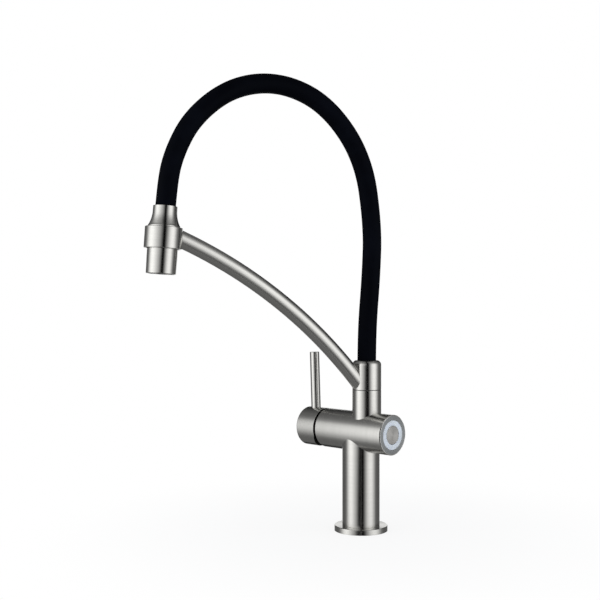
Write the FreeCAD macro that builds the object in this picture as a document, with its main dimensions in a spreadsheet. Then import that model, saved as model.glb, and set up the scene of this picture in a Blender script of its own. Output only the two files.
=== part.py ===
import FreeCAD, Part
import math
import os

import Sketcher

# Kitchen mixer tap, in millimetres. Z is up, the origin is the centre of the base on the worktop,
# the cross body lies along X with the lever at -X and the push button at +X.

SIZES = {
    # base and column
    "flange_radius": 27.0,
    "flange_thickness": 5.4,
    "flange_edge": 0.8,
    "gasket_inner_radius": 20.5,
    "gasket_width": 3.5,
    "gasket_thickness": 2.0,
    "column_radius": 19.0,
    "column_bore_radius": 14.5,
    "skirt_radius": 16.6,
    "deck_clearance": 0.6,
    # cross body
    "cross_height": 100.1,
    "cross_radius": 20.07,
    "cross_bore_radius": 15.3,
    "lever_side_length": 45.5,
    "button_side_length": 42.05,
    "nut_bore_radius": 16.8,
    "nut_bore_depth": 8.0,
    "switch_bore_radius": 16.8,
    "switch_bore_depth": 18.0,
    "bezel_seat_radius": 18.9,
    "bezel_seat_depth": 3.0,
    "rim_chamfer": 0.7,
    # swivel neck and collar, heights measured from the neck's top
    "swivel_offset": 7.8,
    "neck_radius": 14.65,
    "neck_rise": 42.9,
    "neck_bore_radius": 10.6,
    "washer_thickness": 0.5,
    "joint_gap": 0.6,
    "collar_length": 29.35,
    "collar_rounding": 4.7,
    "spigot_radius": 10.5,
    "spigot_rise": 18.4,
    "spigot_floor_gap": 1.2,
    "spigot_water_radius": 6.0,
    "nipple_radius": 5.0,
    "nipple_length": 9.0,
    "swivel_bore_radius": 10.8,
    "swivel_chamber": 1.8,
    "seal_section": 1.7,
    "seal_stand": 0.22,
    "lower_seal_rise": 5.0,
    "upper_seal_drop": 3.0,
    "stop_slot_rise": 10.2,
    "stop_slot_width": 3.4,
    "stop_slot_depth": 1.2,
    "swivel_travel": 150.0,
    "stop_tip_angle": 18.0,
    "stop_screw_radius": 2.0,
    "stop_tip_radius": 1.3,
    # water block and tubes
    "inlet_block_height": 18.0,
    "supply_spacing": 5.2,
    "supply_thread_radius": 4.5,
    "supply_thread_depth": 10.0,
    "tube_seat_depth": 4.5,
    "stud_thread_radius": 3.4,
    "stud_thread_depth": 12.0,
    "stud_x": 6.5,
    "stud_y": 7.0,
    "tube_radius": 3.0,
    "tube_wall": 0.7,
    "manifold_left": 8.5,
    "manifold_right": 13.6,
    "inlet_port_rise": 4.2,
    "outlet_port_drop": 5.0,
    "inlet_passage_radius": 2.0,
    "outlet_passage_radius": 2.6,
    "cable_x": 7.5,
    "cable_y": 7.0,
    "cable_diameter": 1.8,
    "cable_straight": 32.0,
    "cable_slack": 1.2,
    "cable_climb": 1.5,
    # cartridge, measured outwards from the manifold face
    "port_seal_thickness": 0.8,
    "port_seal_width": 1.3,
    "base_plate_thickness": 3.4,
    "cartridge_radius": 15.1,
    "cartridge_wall": 2.8,
    "cartridge_length": 29.0,
    "cartridge_mouth_radius": 8.4,
    "cartridge_lid": 1.5,
    "disc_radius": 11.6,
    "fixed_disc_thickness": 2.8,
    "moving_disc_radius": 9.4,
    "moving_disc_thickness": 2.9,
    "mixing_hollow_radius": 5.3,
    "mixing_hollow_offset": 2.4,
    "carrier_thickness": 5.2,
    "socket_radius": 2.7,
    "ball_radius": 2.4,
    "shank_radius": 1.5,
    "stem_radius": 3.8,
    "pivot_distance": 19.5,
    "rotor_radius": 11.9,
    "pivot_pin_radius": 1.5,
    "tilt_room": 3.2,
    "nut_opening_radius": 11.2,
    # lever
    "cap_gap": 3.0,
    "cap_length": 24.6,
    "cap_wall": 2.27,
    "cap_end_wall": 4.0,
    "cap_edge": 1.0,
    "cap_cut_drop": 7.0,
    "cap_cut_angle": 25.5,
    "stem_square": 6.6,
    "stem_end_gap": 5.0,
    "boss_radius": 8.0,
    "boss_start": 8.5,
    "rod_boss_wall": 1.8,
    "rod_boss_bite": 0.45,
    "dust_ring_radius": 19.77,
    "dust_ring_length": 4.5,
    "dust_ring_opening": 12.2,
    "lever_radius": 5.0,
    "lever_position": 14.1,
    "lever_top": 78.4,
    "lever_lean": 2.3,
    "lever_seat": 14.0,
    "lever_thread_radius": 3.0,
    "lever_thread_length": 4.5,
    "lever_top_bevel": 0.4,
    "cap_screw_gap": 0.5,
    # spout, heights measured from the neck's top
    "spout_angle": -18.3,
    "spout_reach": 215.8,
    "arm_radius": 8.0,
    "arm_wall": 1.6,
    "arm_bend_radius": 500.0,
    "arm_foot_rise": -4.08,
    "arm_end_rise": 6.1,
    "ring_rise": 147.9,
    "ring_radius": 17.35,
    "ring_length": 19.7,
    "ring_bore_radius": 15.6,
    "ring_edge": 0.5,
    "liner_wall": 1.1,
    "head_tilt": 4.0,
    # hose
    "hose_radius": 9.5,
    "hose_bore_radius": 5.0,
    "hose_socket_radius": 9.7,
    "hose_seat_rise": 22.2,
    "barb_length": 18.0,
    "barb_bore_radius": 3.4,
    "barb_taper_length": 5.0,
    "barb_taper": 0.6,
    "barb_flange_radius": 8.0,
    "barb_flange_thickness": 1.2,
    "head_hose_seat": 9.4,
    "hose_last_run": 35.0,
    # spray head, measured from the ring centre along its axis
    "cone_length": 19.4,
    "cone_top_radius": 11.1,
    "cone_waist_radius": 11.2,
    "cone_waist_drop": 4.6,
    "cone_bend_radius": 27.5,
    "cone_foot_radius": 14.1,
    "cone_foot_rise": 1.45,
    "cone_floor": 2.0,
    "lip_radius": 15.0,
    "lip_height": 0.9,
    "shell_radius": 14.1,
    "shell_end_radius": 13.85,
    "shell_wall": 1.5,
    "shell_drop": 33.05,
    "shell_edge": 0.6,
    "valve_radius": 6.5,
    "valve_length": 7.0,
    "aerator_length": 9.0,
    "aerator_wall": 1.2,
    "aerator_recess": 0.8,
    "aerator_seal_width": 2.4,
    "aerator_seal_thickness": 1.0,
    "spray_disc_recess": 0.8,
    "spray_disc_thickness": 2.4,
    "jet_radius": 0.55,
    # button end
    "light_outer_radius": 14.7,
    "light_inner_radius": 9.5,
    "light_ring_foot": 1.0,
    "bezel_depth": 6.0,
    "button_radius": 9.2,
    "button_travel": 1.0,
    "button_thickness": 2.6,
    "plunger_radius": 1.8,
    "plunger_plate_radius": 6.5,
    "plunger_plate_thickness": 1.0,
    "spring_radius": 5.0,
    "spring_wire": 0.5,
    "board_stand": 1.4,
    "board_thickness": 1.6,
    "switch_height": 3.4,
    "switch_side": 6.0,
    "led_ring_radius": 12.0,
    "led_side": 1.6,
    "led_height": 0.8,
    "guide_radius": 10.4,
    "guide_wall": 1.2,
    "cup_wall": 1.2,
    "housing_gasket_thickness": 0.8,
    # clearances
    "running_gap": 0.3,
    "slip_gap": 0.1,
}

LED_COUNT = 8
JET_RINGS = ((0.0, 1), (3.4, 6), (6.8, 12), (9.6, 18))
SPRING_TURNS = 4.0
ROUNDING_ERROR = 1e-3


class Length:
    """A size with both its number and the sheet formula that gives it."""

    def __init__(self, value, text):
        self.value = value
        self.text = text

    def joined(self, other, sign, value):
        text = other.text if isinstance(other, Length) else repr(float(other))
        return Length(value, f"({self.text} {sign} {text})")

    def __add__(self, other):
        return self.joined(other, "+", self.value + number(other))

    def __sub__(self, other):
        return self.joined(other, "-", self.value - number(other))

    def __mul__(self, other):
        return self.joined(other, "*", self.value * number(other))

    def __truediv__(self, other):
        return self.joined(other, "/", self.value / number(other))

    def __radd__(self, other):
        return plain(other) + self

    def __rsub__(self, other):
        return plain(other) - self

    def __rmul__(self, other):
        return plain(other) * self

    def __neg__(self):
        return Length(-self.value, f"(-1 * {self.text})")


def number(size):
    return size.value if isinstance(size, Length) else float(size)


def plain(size):
    return size if isinstance(size, Length) else Length(float(size), repr(float(size)))


def root(size):
    return Length(math.sqrt(size.value), f"sqrt({size.text})")


def sine(angle):
    return Length(math.sin(math.radians(angle.value)), f"sin({angle.text} * 1 deg)")


def cosine(angle):
    return Length(math.cos(math.radians(angle.value)), f"cos({angle.text} * 1 deg)")


class Sheet:
    """Gives each named size as a Length, such as at.flange_radius."""

    def __getattr__(self, name):
        return Length(SIZES[name], f"Sizes.{name}")


at = Sheet()
doc = FreeCAD.newDocument("mixer_tap")
bodies = []


def write_sheet():
    sheet = doc.addObject("Spreadsheet::Sheet", "Sizes")
    for row, (name, value) in enumerate(SIZES.items(), start=1):
        sheet.set(f"A{row}", name)
        sheet.set(f"B{row}", str(value))
        sheet.setAlias(f"B{row}", name)
    doc.recompute()
    return sheet


def placement_text(x, y, z, yaw, pitch):
    place = "; ".join(plain(value).text for value in (x, y, z))
    turn = "; ".join(f"{plain(value).text} * 1 deg" for value in (yaw, pitch))
    return f"placement(vector({place}); rotation({turn}; 0 deg))"


def new_body(name, frame=(0, 0, 0, 0, 0)):
    body = doc.addObject("PartDesign::Body", name)
    body.Label = name
    body.setExpression("Placement", placement_text(*frame))
    bodies.append(body)
    return body


def new_sketch(body, name, plane="XY_Plane", lift=0):
    sketch = body.newObject("Sketcher::SketchObject", name)
    planes = [feature for feature in body.Origin.OriginFeatures if feature.Role == plane]
    sketch.AttachmentSupport = [(planes[0], "")]
    sketch.MapMode = "FlatFace"
    if number(lift) != 0:
        sketch.setExpression("AttachmentOffset.Base.z", plain(lift).text)
    return sketch


def hold(sketch, direction, geometry, point, size):
    """Fix one coordinate of a sketch point to a size measured from the origin."""
    if isinstance(size, (int, float)) and size == 0:
        axis = -2 if direction == "DistanceX" else -1
        sketch.addConstraint(Sketcher.Constraint("PointOnObject", geometry, point, axis))
        return
    size = plain(size)
    if size.value < 0:
        flipped = -size
        rule = Sketcher.Constraint(direction, geometry, point, -1, 1, flipped.value)
        text = flipped.text
    else:
        rule = Sketcher.Constraint(direction, -1, 1, geometry, point, size.value)
        text = size.text
    index = sketch.addConstraint(rule)
    sketch.setExpression(f"Constraints[{index}]", text)


def arc_side(start, end, radius):
    """The arc from start to end that bulges to the right of the way from one to the other."""
    chord = end - start
    middle = (start + end) * 0.5
    right = FreeCAD.Vector(chord.y, -chord.x, 0).normalize()
    sagitta = radius - math.sqrt(radius ** 2 - chord.Length ** 2 / 4)
    return Part.Arc(start, middle + right * sagitta, end)


def draw_outline(sketch, points):
    """Close an outline through (x, y) corners. A third number is the radius of the arc to that corner."""
    corners = [FreeCAD.Vector(number(point[0]), number(point[1]), 0) for point in points]
    edges = []
    for index, start in enumerate(corners):
        following = (index + 1) % len(points)
        end = corners[following]
        if len(points[following]) == 3:
            bend = points[following][2]
            edge = sketch.addGeometry(arc_side(start, end, number(bend)), False)
            rule = sketch.addConstraint(Sketcher.Constraint("Radius", edge, number(bend)))
            sketch.setExpression(f"Constraints[{rule}]", plain(bend).text)
            turned = sketch.getPoint(edge, 1).distanceToPoint(start) > 1e-6
            edges.append((edge, 2, 1) if turned else (edge, 1, 2))
        else:
            edges.append((sketch.addGeometry(Part.LineSegment(start, end), False), 1, 2))
    for (edge, _, last), (following, first, _) in zip(edges, edges[1:] + edges[:1]):
        sketch.addConstraint(Sketcher.Constraint("Coincident", edge, last, following, first))
    for (edge, first, _), point in zip(edges, points):
        hold(sketch, "DistanceX", edge, first, point[0])
        hold(sketch, "DistanceY", edge, first, point[1])


def draw_circle(sketch, radius, x=0, y=0):
    centre = FreeCAD.Vector(number(x), number(y), 0)
    circle = Part.Circle(centre, FreeCAD.Vector(0, 0, 1), number(radius))
    index = sketch.addGeometry(circle, False)
    hold(sketch, "DistanceX", index, 3, x)
    hold(sketch, "DistanceY", index, 3, y)
    rule = sketch.addConstraint(Sketcher.Constraint("Radius", index, number(radius)))
    sketch.setExpression(f"Constraints[{rule}]", plain(radius).text)


def draw_box(sketch, left, bottom, right, top):
    draw_outline(sketch, [(left, bottom), (right, bottom), (right, top), (left, top)])


def turn_profile(body, name, points, kind="PartDesign::Revolution", angle=360):
    """Turn an outline of (radius, height) points about the body's own Z axis."""
    sketch = new_sketch(body, f"{name}_outline", "XZ_Plane")
    draw_outline(sketch, points)
    feature = body.newObject(kind, name)
    feature.Profile = sketch
    feature.ReferenceAxis = (sketch, ["V_Axis"])
    if isinstance(angle, Length):
        feature.setExpression("Angle", f"{angle.text} * 1 deg")
    else:
        feature.Angle = angle
    return feature


def raise_pad(body, name, length, draw, plane="XY_Plane", lift=0, reverse=False):
    sketch = new_sketch(body, f"{name}_outline", plane, lift)
    draw(sketch)
    feature = body.newObject("PartDesign::Pad", name)
    feature.Profile = sketch
    feature.setExpression("Length", plain(length).text)
    feature.Reversed = reverse
    return feature


def cut_pocket(body, name, length, draw, plane="XY_Plane", lift=0, upwards=False):
    """Cut from the sketch plane against its normal, or along it when upwards."""
    sketch = new_sketch(body, f"{name}_outline", plane, lift)
    draw(sketch)
    feature = body.newObject("PartDesign::Pocket", name)
    feature.Profile = sketch
    feature.setExpression("Length", plain(length).text)
    feature.Reversed = upwards
    return feature


def circles(*items):
    """A drawing made of circles, each (radius) or (radius, x, y)."""
    def draw(sketch):
        for item in items:
            draw_circle(sketch, *item)
    return draw


def box(left, bottom, right, top):
    return lambda sketch: draw_box(sketch, left, bottom, right, top)


def outline(points):
    return lambda sketch: draw_outline(sketch, points)


def dress_rims(body, name, kind, size, rims, along="z"):
    """Round or bevel the circular edges at the given (radius, place along an axis of the body)."""
    doc.recompute()
    base = body.Tip
    names = []
    for index, edge in enumerate(base.Shape.Edges, start=1):
        if not isinstance(edge.Curve, Part.Circle):
            continue
        place = getattr(edge.Curve.Center, along)
        for radius, wanted in rims:
            same_radius = abs(edge.Curve.Radius - number(radius)) < ROUNDING_ERROR
            if same_radius and abs(place - number(wanted)) < ROUNDING_ERROR:
                names.append(f"Edge{index}")
    feature = body.newObject(kind, name)
    feature.Base = (base, names)
    path = "Radius" if kind.endswith("Fillet") else "Size"
    feature.setExpression(path, plain(size).text)
    return feature


def repeat_round(body, name, feature, count):
    """Repeat a feature around the body's Z axis."""
    pattern = body.newObject("PartDesign::PolarPattern", name)
    pattern.Originals = [feature]
    pattern.Axis = (feature.Profile[0], ["N_Axis"])
    pattern.Angle = 360
    pattern.Occurrences = count
    body.Tip = pattern
    return pattern


def tube_body(name, frame, outer, inner, bottom, top):
    body = new_body(name, frame)
    turn_profile(body, f"{name}_turned", [
        (inner, bottom),
        (outer, bottom),
        (outer, top),
        (inner, top),
    ])
    return body


def rod_body(name, frame, radius, bottom, top):
    body = new_body(name, frame)
    turn_profile(body, f"{name}_turned", [
        (0, bottom),
        (radius, bottom),
        (radius, top),
        (0, top),
    ])
    return body


# Shared places: x, y, z, turn about Z, then turn about the turned Y
neck_top = at.cross_height + at.neck_rise
upright = (0, 0, 0, 0, 0)
swivel = (at.swivel_offset, 0, neck_top, 0, 0)
spout = (at.swivel_offset, 0, neck_top, at.spout_angle - 90, 0)
cartridge = (-at.manifold_left, 0, at.cross_height, 0, -90)
cap_place = (-(at.lever_side_length + at.cap_gap), 0, at.cross_height, 0, -90)
button_face = (at.button_side_length, 0, at.cross_height, 0, 90)
head = (
    at.swivel_offset + at.spout_reach * sine(at.spout_angle),
    -at.spout_reach * cosine(at.spout_angle),
    neck_top + at.ring_rise,
    at.spout_angle - 90,
    -at.head_tilt,
)


def base_flange():
    body = new_body("base_flange")
    inner = at.skirt_radius + at.slip_gap
    groove_top = at.gasket_thickness + at.slip_gap
    groove_outer = at.gasket_inner_radius + at.gasket_width + at.slip_gap
    turn_profile(body, "flange_turned", [
        (inner, 0),
        (at.gasket_inner_radius - at.slip_gap, 0),
        (at.gasket_inner_radius - at.slip_gap, groove_top),
        (groove_outer, groove_top),
        (groove_outer, 0),
        (at.flange_radius, 0),
        (at.flange_radius, at.flange_thickness),
        (inner, at.flange_thickness),
    ])
    top_rim = (at.flange_radius, at.flange_thickness)
    dress_rims(body, "flange_rounding", "PartDesign::Fillet", at.flange_edge, [top_rim])
    outer = at.gasket_inner_radius + at.gasket_width
    tube_body("base_gasket", upright, outer, at.gasket_inner_radius, 0, at.gasket_thickness)


def mixer_body():
    body = new_body("mixer_body")
    skirt_height = at.flange_thickness - at.deck_clearance
    raise_pad(body, "column", at.cross_height - at.flange_thickness,
              circles((at.column_radius,)), lift=at.flange_thickness)
    raise_pad(body, "column_skirt", skirt_height, circles((at.skirt_radius,)),
              lift=at.deck_clearance)
    # the sketch on the YZ plane is seen from +X, with its own y along Z
    across = circles((at.cross_radius, 0, at.cross_height))
    raise_pad(body, "cross_tube", at.lever_side_length + at.button_side_length, across,
              plane="YZ_Plane", lift=-at.lever_side_length)
    raise_pad(body, "neck", at.neck_rise, circles((at.neck_radius, at.swivel_offset, 0)),
              lift=at.cross_height)
    cut_pocket(body, "column_bore", at.cross_height - at.deck_clearance,
               circles((at.column_bore_radius,)), lift=at.cross_height)
    cut_pocket(body, "neck_bore", at.neck_rise,
               circles((at.neck_bore_radius, at.swivel_offset, 0)), lift=neck_top)
    cut_pocket(body, "cross_bore", at.lever_side_length + at.button_side_length,
               circles((at.cross_bore_radius, 0, at.cross_height)),
               plane="YZ_Plane", lift=at.button_side_length)
    cut_pocket(body, "nut_bore", at.nut_bore_depth,
               circles((at.nut_bore_radius, 0, at.cross_height)),
               plane="YZ_Plane", lift=-at.lever_side_length, upwards=True)
    cut_pocket(body, "switch_bore", at.switch_bore_depth,
               circles((at.switch_bore_radius, 0, at.cross_height)),
               plane="YZ_Plane", lift=at.button_side_length)
    cut_pocket(body, "bezel_seat", at.bezel_seat_depth,
               circles((at.bezel_seat_radius, 0, at.cross_height)),
               plane="YZ_Plane", lift=at.button_side_length)
    dress_rims(body, "button_rim_bevel", "PartDesign::Chamfer", at.rim_chamfer,
               [(at.cross_radius, at.button_side_length)], along="x")


def inlet_block():
    body = new_body("inlet_block")
    bottom = at.deck_clearance
    top = bottom + at.inlet_block_height
    turn_profile(body, "block_turned", [
        (0, bottom),
        (at.column_bore_radius - at.slip_gap, bottom),
        (at.column_bore_radius - at.slip_gap, top),
        (0, top),
    ])
    spacing = at.supply_spacing
    hot = (-spacing, spacing)
    cold = (spacing, -spacing)
    ports = circles((at.supply_thread_radius, *hot), (at.supply_thread_radius, *cold))
    cut_pocket(body, "supply_threads", at.supply_thread_depth, ports, lift=bottom, upwards=True)
    seats = circles((at.tube_radius + at.slip_gap / 2, *hot),
                    (at.tube_radius + at.slip_gap / 2, *cold))
    cut_pocket(body, "tube_seats", at.tube_seat_depth, seats, lift=top)
    passage_radius = at.tube_radius - at.tube_wall
    passages = circles((passage_radius, *hot), (passage_radius, *cold))
    cut_pocket(body, "supply_passages", at.inlet_block_height - at.slip_gap, passages, lift=top)
    cut_pocket(body, "stud_thread", at.stud_thread_depth,
               circles((at.stud_thread_radius, -at.stud_x, -at.stud_y)), lift=bottom, upwards=True)
    cut_pocket(body, "cable_gland", at.inlet_block_height,
               circles((at.cable_diameter / 2 + at.slip_gap, at.cable_x, at.cable_y)), lift=top)


def supply_tubes():
    bottom = at.deck_clearance + at.inlet_block_height - at.tube_seat_depth
    drop = root(at.cross_bore_radius * at.cross_bore_radius
                - at.supply_spacing * at.supply_spacing * 2)
    top = at.cross_height - drop
    for name, side in (("hot_inlet_tube", -1), ("cold_inlet_tube", 1)):
        frame = (at.supply_spacing * side, at.supply_spacing * -side, 0, 0, 0)
        tube_body(name, frame, at.tube_radius, at.tube_radius - at.tube_wall, bottom, top)


def water_manifold():
    body = new_body("water_manifold")
    radius = at.cross_bore_radius - at.slip_gap
    raise_pad(body, "manifold_blank", at.manifold_left + at.manifold_right,
              circles((radius, 0, at.cross_height)), plane="YZ_Plane", lift=-at.manifold_left)
    spacing = at.supply_spacing
    port_height = at.cross_height + at.inlet_port_rise
    bottom = at.cross_height - radius
    reach = port_height - bottom
    risers = circles((at.inlet_passage_radius, -spacing, spacing),
                     (at.inlet_passage_radius, spacing, -spacing))
    cut_pocket(body, "supply_risers", reach, risers, lift=bottom, upwards=True)
    seat = at.tube_radius + at.slip_gap / 2
    drop = root(at.cross_bore_radius * at.cross_bore_radius - spacing * spacing * 2)
    seat_top = at.cross_height - drop + at.slip_gap
    cut_pocket(body, "riser_seats", seat_top - bottom,
               circles((seat, -spacing, spacing), (seat, spacing, -spacing)),
               lift=bottom, upwards=True)
    face = -at.manifold_left
    cut_pocket(body, "hot_port", at.manifold_left - spacing,
               circles((at.inlet_passage_radius, spacing, port_height)),
               plane="YZ_Plane", lift=face, upwards=True)
    cut_pocket(body, "cold_port", at.manifold_left + spacing,
               circles((at.inlet_passage_radius, -spacing, port_height)),
               plane="YZ_Plane", lift=face, upwards=True)
    outlet_height = at.cross_height - at.outlet_port_drop
    cut_pocket(body, "outlet_port", at.manifold_left + at.swivel_offset,
               circles((at.outlet_passage_radius, 0, outlet_height)),
               plane="YZ_Plane", lift=face, upwards=True)
    top = at.cross_height + radius
    cut_pocket(body, "outlet_riser", top - outlet_height,
               circles((at.outlet_passage_radius, at.swivel_offset, 0)), lift=top)
    cut_pocket(body, "nipple_seat", at.nipple_length - at.spigot_floor_gap + at.slip_gap * 2,
               circles((at.nipple_radius + at.slip_gap, at.swivel_offset, 0)),
               lift=at.cross_height + at.cross_bore_radius)
    notch = at.cable_diameter
    cut_pocket(body, "cable_notch", at.cross_bore_radius,
               box(at.cable_x - notch, at.cable_y - notch,
                   at.manifold_right + at.slip_gap, at.cable_y + notch),
               lift=bottom - at.slip_gap, upwards=True)


def port_drawing(radius_growth):
    """Circles of the three cartridge ports, seen along the cartridge's own axis."""
    inlet = at.inlet_passage_radius + radius_growth
    outlet = at.outlet_passage_radius + radius_growth
    return circles(
        (inlet, at.inlet_port_rise, at.supply_spacing),
        (inlet, at.inlet_port_rise, -at.supply_spacing),
        (outlet, -at.outlet_port_drop, 0),
    )


def cartridge_parts():
    seal_top = at.port_seal_thickness
    seals = new_body("port_seals", cartridge)
    raise_pad(seals, "seal_rings", seal_top, port_drawing(at.port_seal_width))
    cut_pocket(seals, "seal_holes", seal_top, port_drawing(0), lift=seal_top)

    plate_top = seal_top + at.base_plate_thickness
    inner = at.cartridge_radius - at.cartridge_wall
    plate = new_body("cartridge_base", cartridge)
    raise_pad(plate, "plate", at.base_plate_thickness,
              circles((inner - at.slip_gap,)), lift=seal_top)
    cut_pocket(plate, "plate_ports", at.base_plate_thickness, port_drawing(0), lift=plate_top)

    fixed_top = plate_top + at.fixed_disc_thickness
    fixed = new_body("fixed_disc", cartridge)
    raise_pad(fixed, "ceramic", at.fixed_disc_thickness, circles((at.disc_radius,)), lift=plate_top)
    cut_pocket(fixed, "ceramic_ports", at.fixed_disc_thickness, port_drawing(0), lift=fixed_top)

    moving_bottom = fixed_top + at.slip_gap / 2
    moving_top = moving_bottom + at.moving_disc_thickness
    moving = new_body("moving_disc", cartridge)
    raise_pad(moving, "moving_ceramic", at.moving_disc_thickness,
              circles((at.moving_disc_radius,)), lift=moving_bottom)
    cut_pocket(moving, "mixing_hollow", at.moving_disc_thickness / 2,
               circles((at.mixing_hollow_radius, -at.mixing_hollow_offset, 0)),
               lift=moving_bottom, upwards=True)

    carrier_top = moving_top + at.carrier_thickness
    tube_body("disc_carrier", cartridge, at.moving_disc_radius, at.socket_radius,
              moving_top, carrier_top)

    housing = new_body("cartridge_housing", cartridge)
    lid_bottom = at.cartridge_length - at.cartridge_lid
    turn_profile(housing, "housing_turned", [
        (inner, seal_top),
        (at.cartridge_radius, seal_top),
        (at.cartridge_radius, at.cartridge_length),
        (at.cartridge_mouth_radius, at.cartridge_length),
        (at.cartridge_mouth_radius, lid_bottom),
        (inner, lid_bottom),
    ])

    rotor = new_body("cartridge_rotor", cartridge)
    rotor_bottom = carrier_top + at.running_gap
    rotor_top = lid_bottom - at.slip_gap
    rotor_length = rotor_top - rotor_bottom
    raise_pad(rotor, "rotor_blank", rotor_length, circles((at.rotor_radius,)), lift=rotor_bottom)
    half_slot = at.stem_radius + at.running_gap
    slot_reach = half_slot + at.tilt_room
    cut_pocket(rotor, "stem_slot", rotor_length,
               box(-slot_reach, -half_slot, slot_reach, half_slot), lift=rotor_top)
    pin_hole = circles((at.pivot_pin_radius, 0, at.pivot_distance))
    pin_reach = at.rotor_radius - at.slip_gap
    cut_pocket(rotor, "pin_hole", pin_reach * 2, pin_hole, plane="XZ_Plane",
               lift=-pin_reach, upwards=True)

    pin = new_body("pivot_pin", cartridge)
    raise_pad(pin, "pin", pin_reach * 2 - at.slip_gap, pin_hole, plane="XZ_Plane",
              lift=-(pin_reach - at.slip_gap / 2))

    nut_top = at.lever_side_length - at.manifold_left - at.slip_gap
    tube_body("retaining_nut", cartridge, at.nut_bore_radius - at.slip_gap,
              at.nut_opening_radius, at.cartridge_length, nut_top)


def lever_stem():
    body = new_body("lever_stem", cartridge)
    disc_top = (at.port_seal_thickness + at.base_plate_thickness + at.fixed_disc_thickness
                + at.slip_gap / 2 + at.moving_disc_thickness)
    ball_height = disc_top + at.carrier_thickness / 2
    shank_top = at.pivot_distance - at.stem_radius / 2
    square_bottom = at.lever_side_length - at.manifold_left
    turn_profile(body, "stem_turned", [
        (0, ball_height),
        (at.shank_radius, ball_height),
        (at.shank_radius, shank_top - at.stem_radius / 2),
        (at.stem_radius, shank_top),
        (at.stem_radius, square_bottom),
        (0, square_bottom),
    ])
    knob = body.newObject("PartDesign::AdditiveSphere", "stem_ball")
    knob.setExpression("Radius", at.ball_radius.text)
    knob.setExpression("Placement.Base.z", ball_height.text)
    end = at.lever_side_length + at.cap_gap + at.cap_length - at.manifold_left - at.stem_end_gap
    half = at.stem_square / 2
    raise_pad(body, "stem_square_end", end - square_bottom, box(-half, -half, half, half),
              lift=square_bottom)
    cut_pocket(body, "stem_pin_hole", at.rotor_radius * 2,
               circles((at.pivot_pin_radius + at.slip_gap / 2, 0, at.pivot_distance)),
               plane="XZ_Plane", lift=-at.rotor_radius, upwards=True)


def dust_ring():
    body = new_body("dust_ring", cartridge)
    foot = at.lever_side_length - at.manifold_left
    reach = foot + at.dust_ring_length
    # its outside is a ball round the pivot, so that the cap can tilt over it
    from_pivot = foot - at.pivot_distance
    squared = at.dust_ring_radius * at.dust_ring_radius + from_pivot * from_pivot
    top_from_pivot = reach - at.pivot_distance
    narrowest = root(squared - top_from_pivot * top_from_pivot)
    middle_from_pivot = (from_pivot + top_from_pivot) / 2
    middle = root(squared - middle_from_pivot * middle_from_pivot)
    turn_profile(body, "ring_turned", [
        (at.dust_ring_opening, foot),
        (at.dust_ring_radius, foot),
        (middle, foot + at.dust_ring_length / 2),
        (narrowest, reach),
        (at.dust_ring_opening, reach),
    ])


def lever_frame():
    """Place of the lever rod, whose foot is on the cap's axis and which leans outwards."""
    x = -(at.lever_side_length + at.cap_gap + at.lever_position)
    return (x, 0, at.cross_height, 0, -at.lever_lean)


def rod_hole(body, name, radius, start, length):
    """Cut a round hole along the leaning lever rod into the cap."""
    def draw(sketch):
        sketch.AttachmentOffset = FreeCAD.Placement(
            FreeCAD.Vector(0, 0, 0), FreeCAD.Rotation(FreeCAD.Vector(1, 0, 0), -at.lever_lean.value))
        sketch.setExpression("AttachmentOffset.Rotation.Angle", f"-{at.lever_lean.text} * 1 deg")
        sketch.setExpression("AttachmentOffset.Base.y",
                             (at.lever_position + start * sine(at.lever_lean)).text)
        sketch.setExpression("AttachmentOffset.Base.z", (start * cosine(at.lever_lean)).text)
        draw_circle(sketch, radius)
    return cut_pocket(body, name, length, draw, plane="YZ_Plane", upwards=True)


def lever_cap():
    body = new_body("lever_cap", cap_place)
    raise_pad(body, "cap_blank", at.cap_length, circles((at.cross_radius,)))
    cavity = at.cross_radius - at.cap_wall
    floor = at.cap_length - at.cap_end_wall
    cut_pocket(body, "cap_cavity", floor, circles((cavity,)), upwards=True)
    raise_pad(body, "stem_boss", floor - at.boss_start + at.slip_gap, circles((at.boss_radius,)),
              lift=at.boss_start)
    rod_boss = at.lever_radius + at.rod_boss_wall
    raise_pad(body, "rod_boss", floor - at.boss_start + at.slip_gap,
              box(0, -rod_boss, cavity + at.rod_boss_bite, rod_boss), lift=at.boss_start)
    half = at.stem_square / 2 + at.slip_gap / 2
    socket = at.cap_length - at.stem_end_gap - at.boss_start + at.slip_gap
    cut_pocket(body, "stem_socket", socket, box(-half, -half, half, half),
               lift=at.boss_start, upwards=True)
    rod_hole(body, "rod_socket", at.lever_radius + at.slip_gap / 2, at.lever_seat,
             at.cross_radius)
    rod_hole(body, "rod_thread", at.lever_thread_radius + at.slip_gap / 2, at.stem_square / 4,
             at.lever_seat)
    # the lower rim is cut back, which gives the cap room when the lever is lifted
    cut_reach = at.cross_radius
    cut_depth = cut_reach * sine(at.cap_cut_angle) / cosine(at.cap_cut_angle)
    lowest = -at.cap_cut_drop - cut_reach
    cut_pocket(body, "tilt_cut", (at.cross_radius + at.slip_gap) * 2, outline([
        (-at.cap_cut_drop, 0),
        (lowest, cut_depth),
        (lowest, -at.slip_gap),
        (-at.cap_cut_drop, -at.slip_gap),
    ]), plane="XZ_Plane", lift=-(at.cross_radius + at.slip_gap), upwards=True)
    dress_rims(body, "cap_rounding", "PartDesign::Fillet", at.cap_edge,
               [(at.cross_radius, at.cap_length)])


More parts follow.
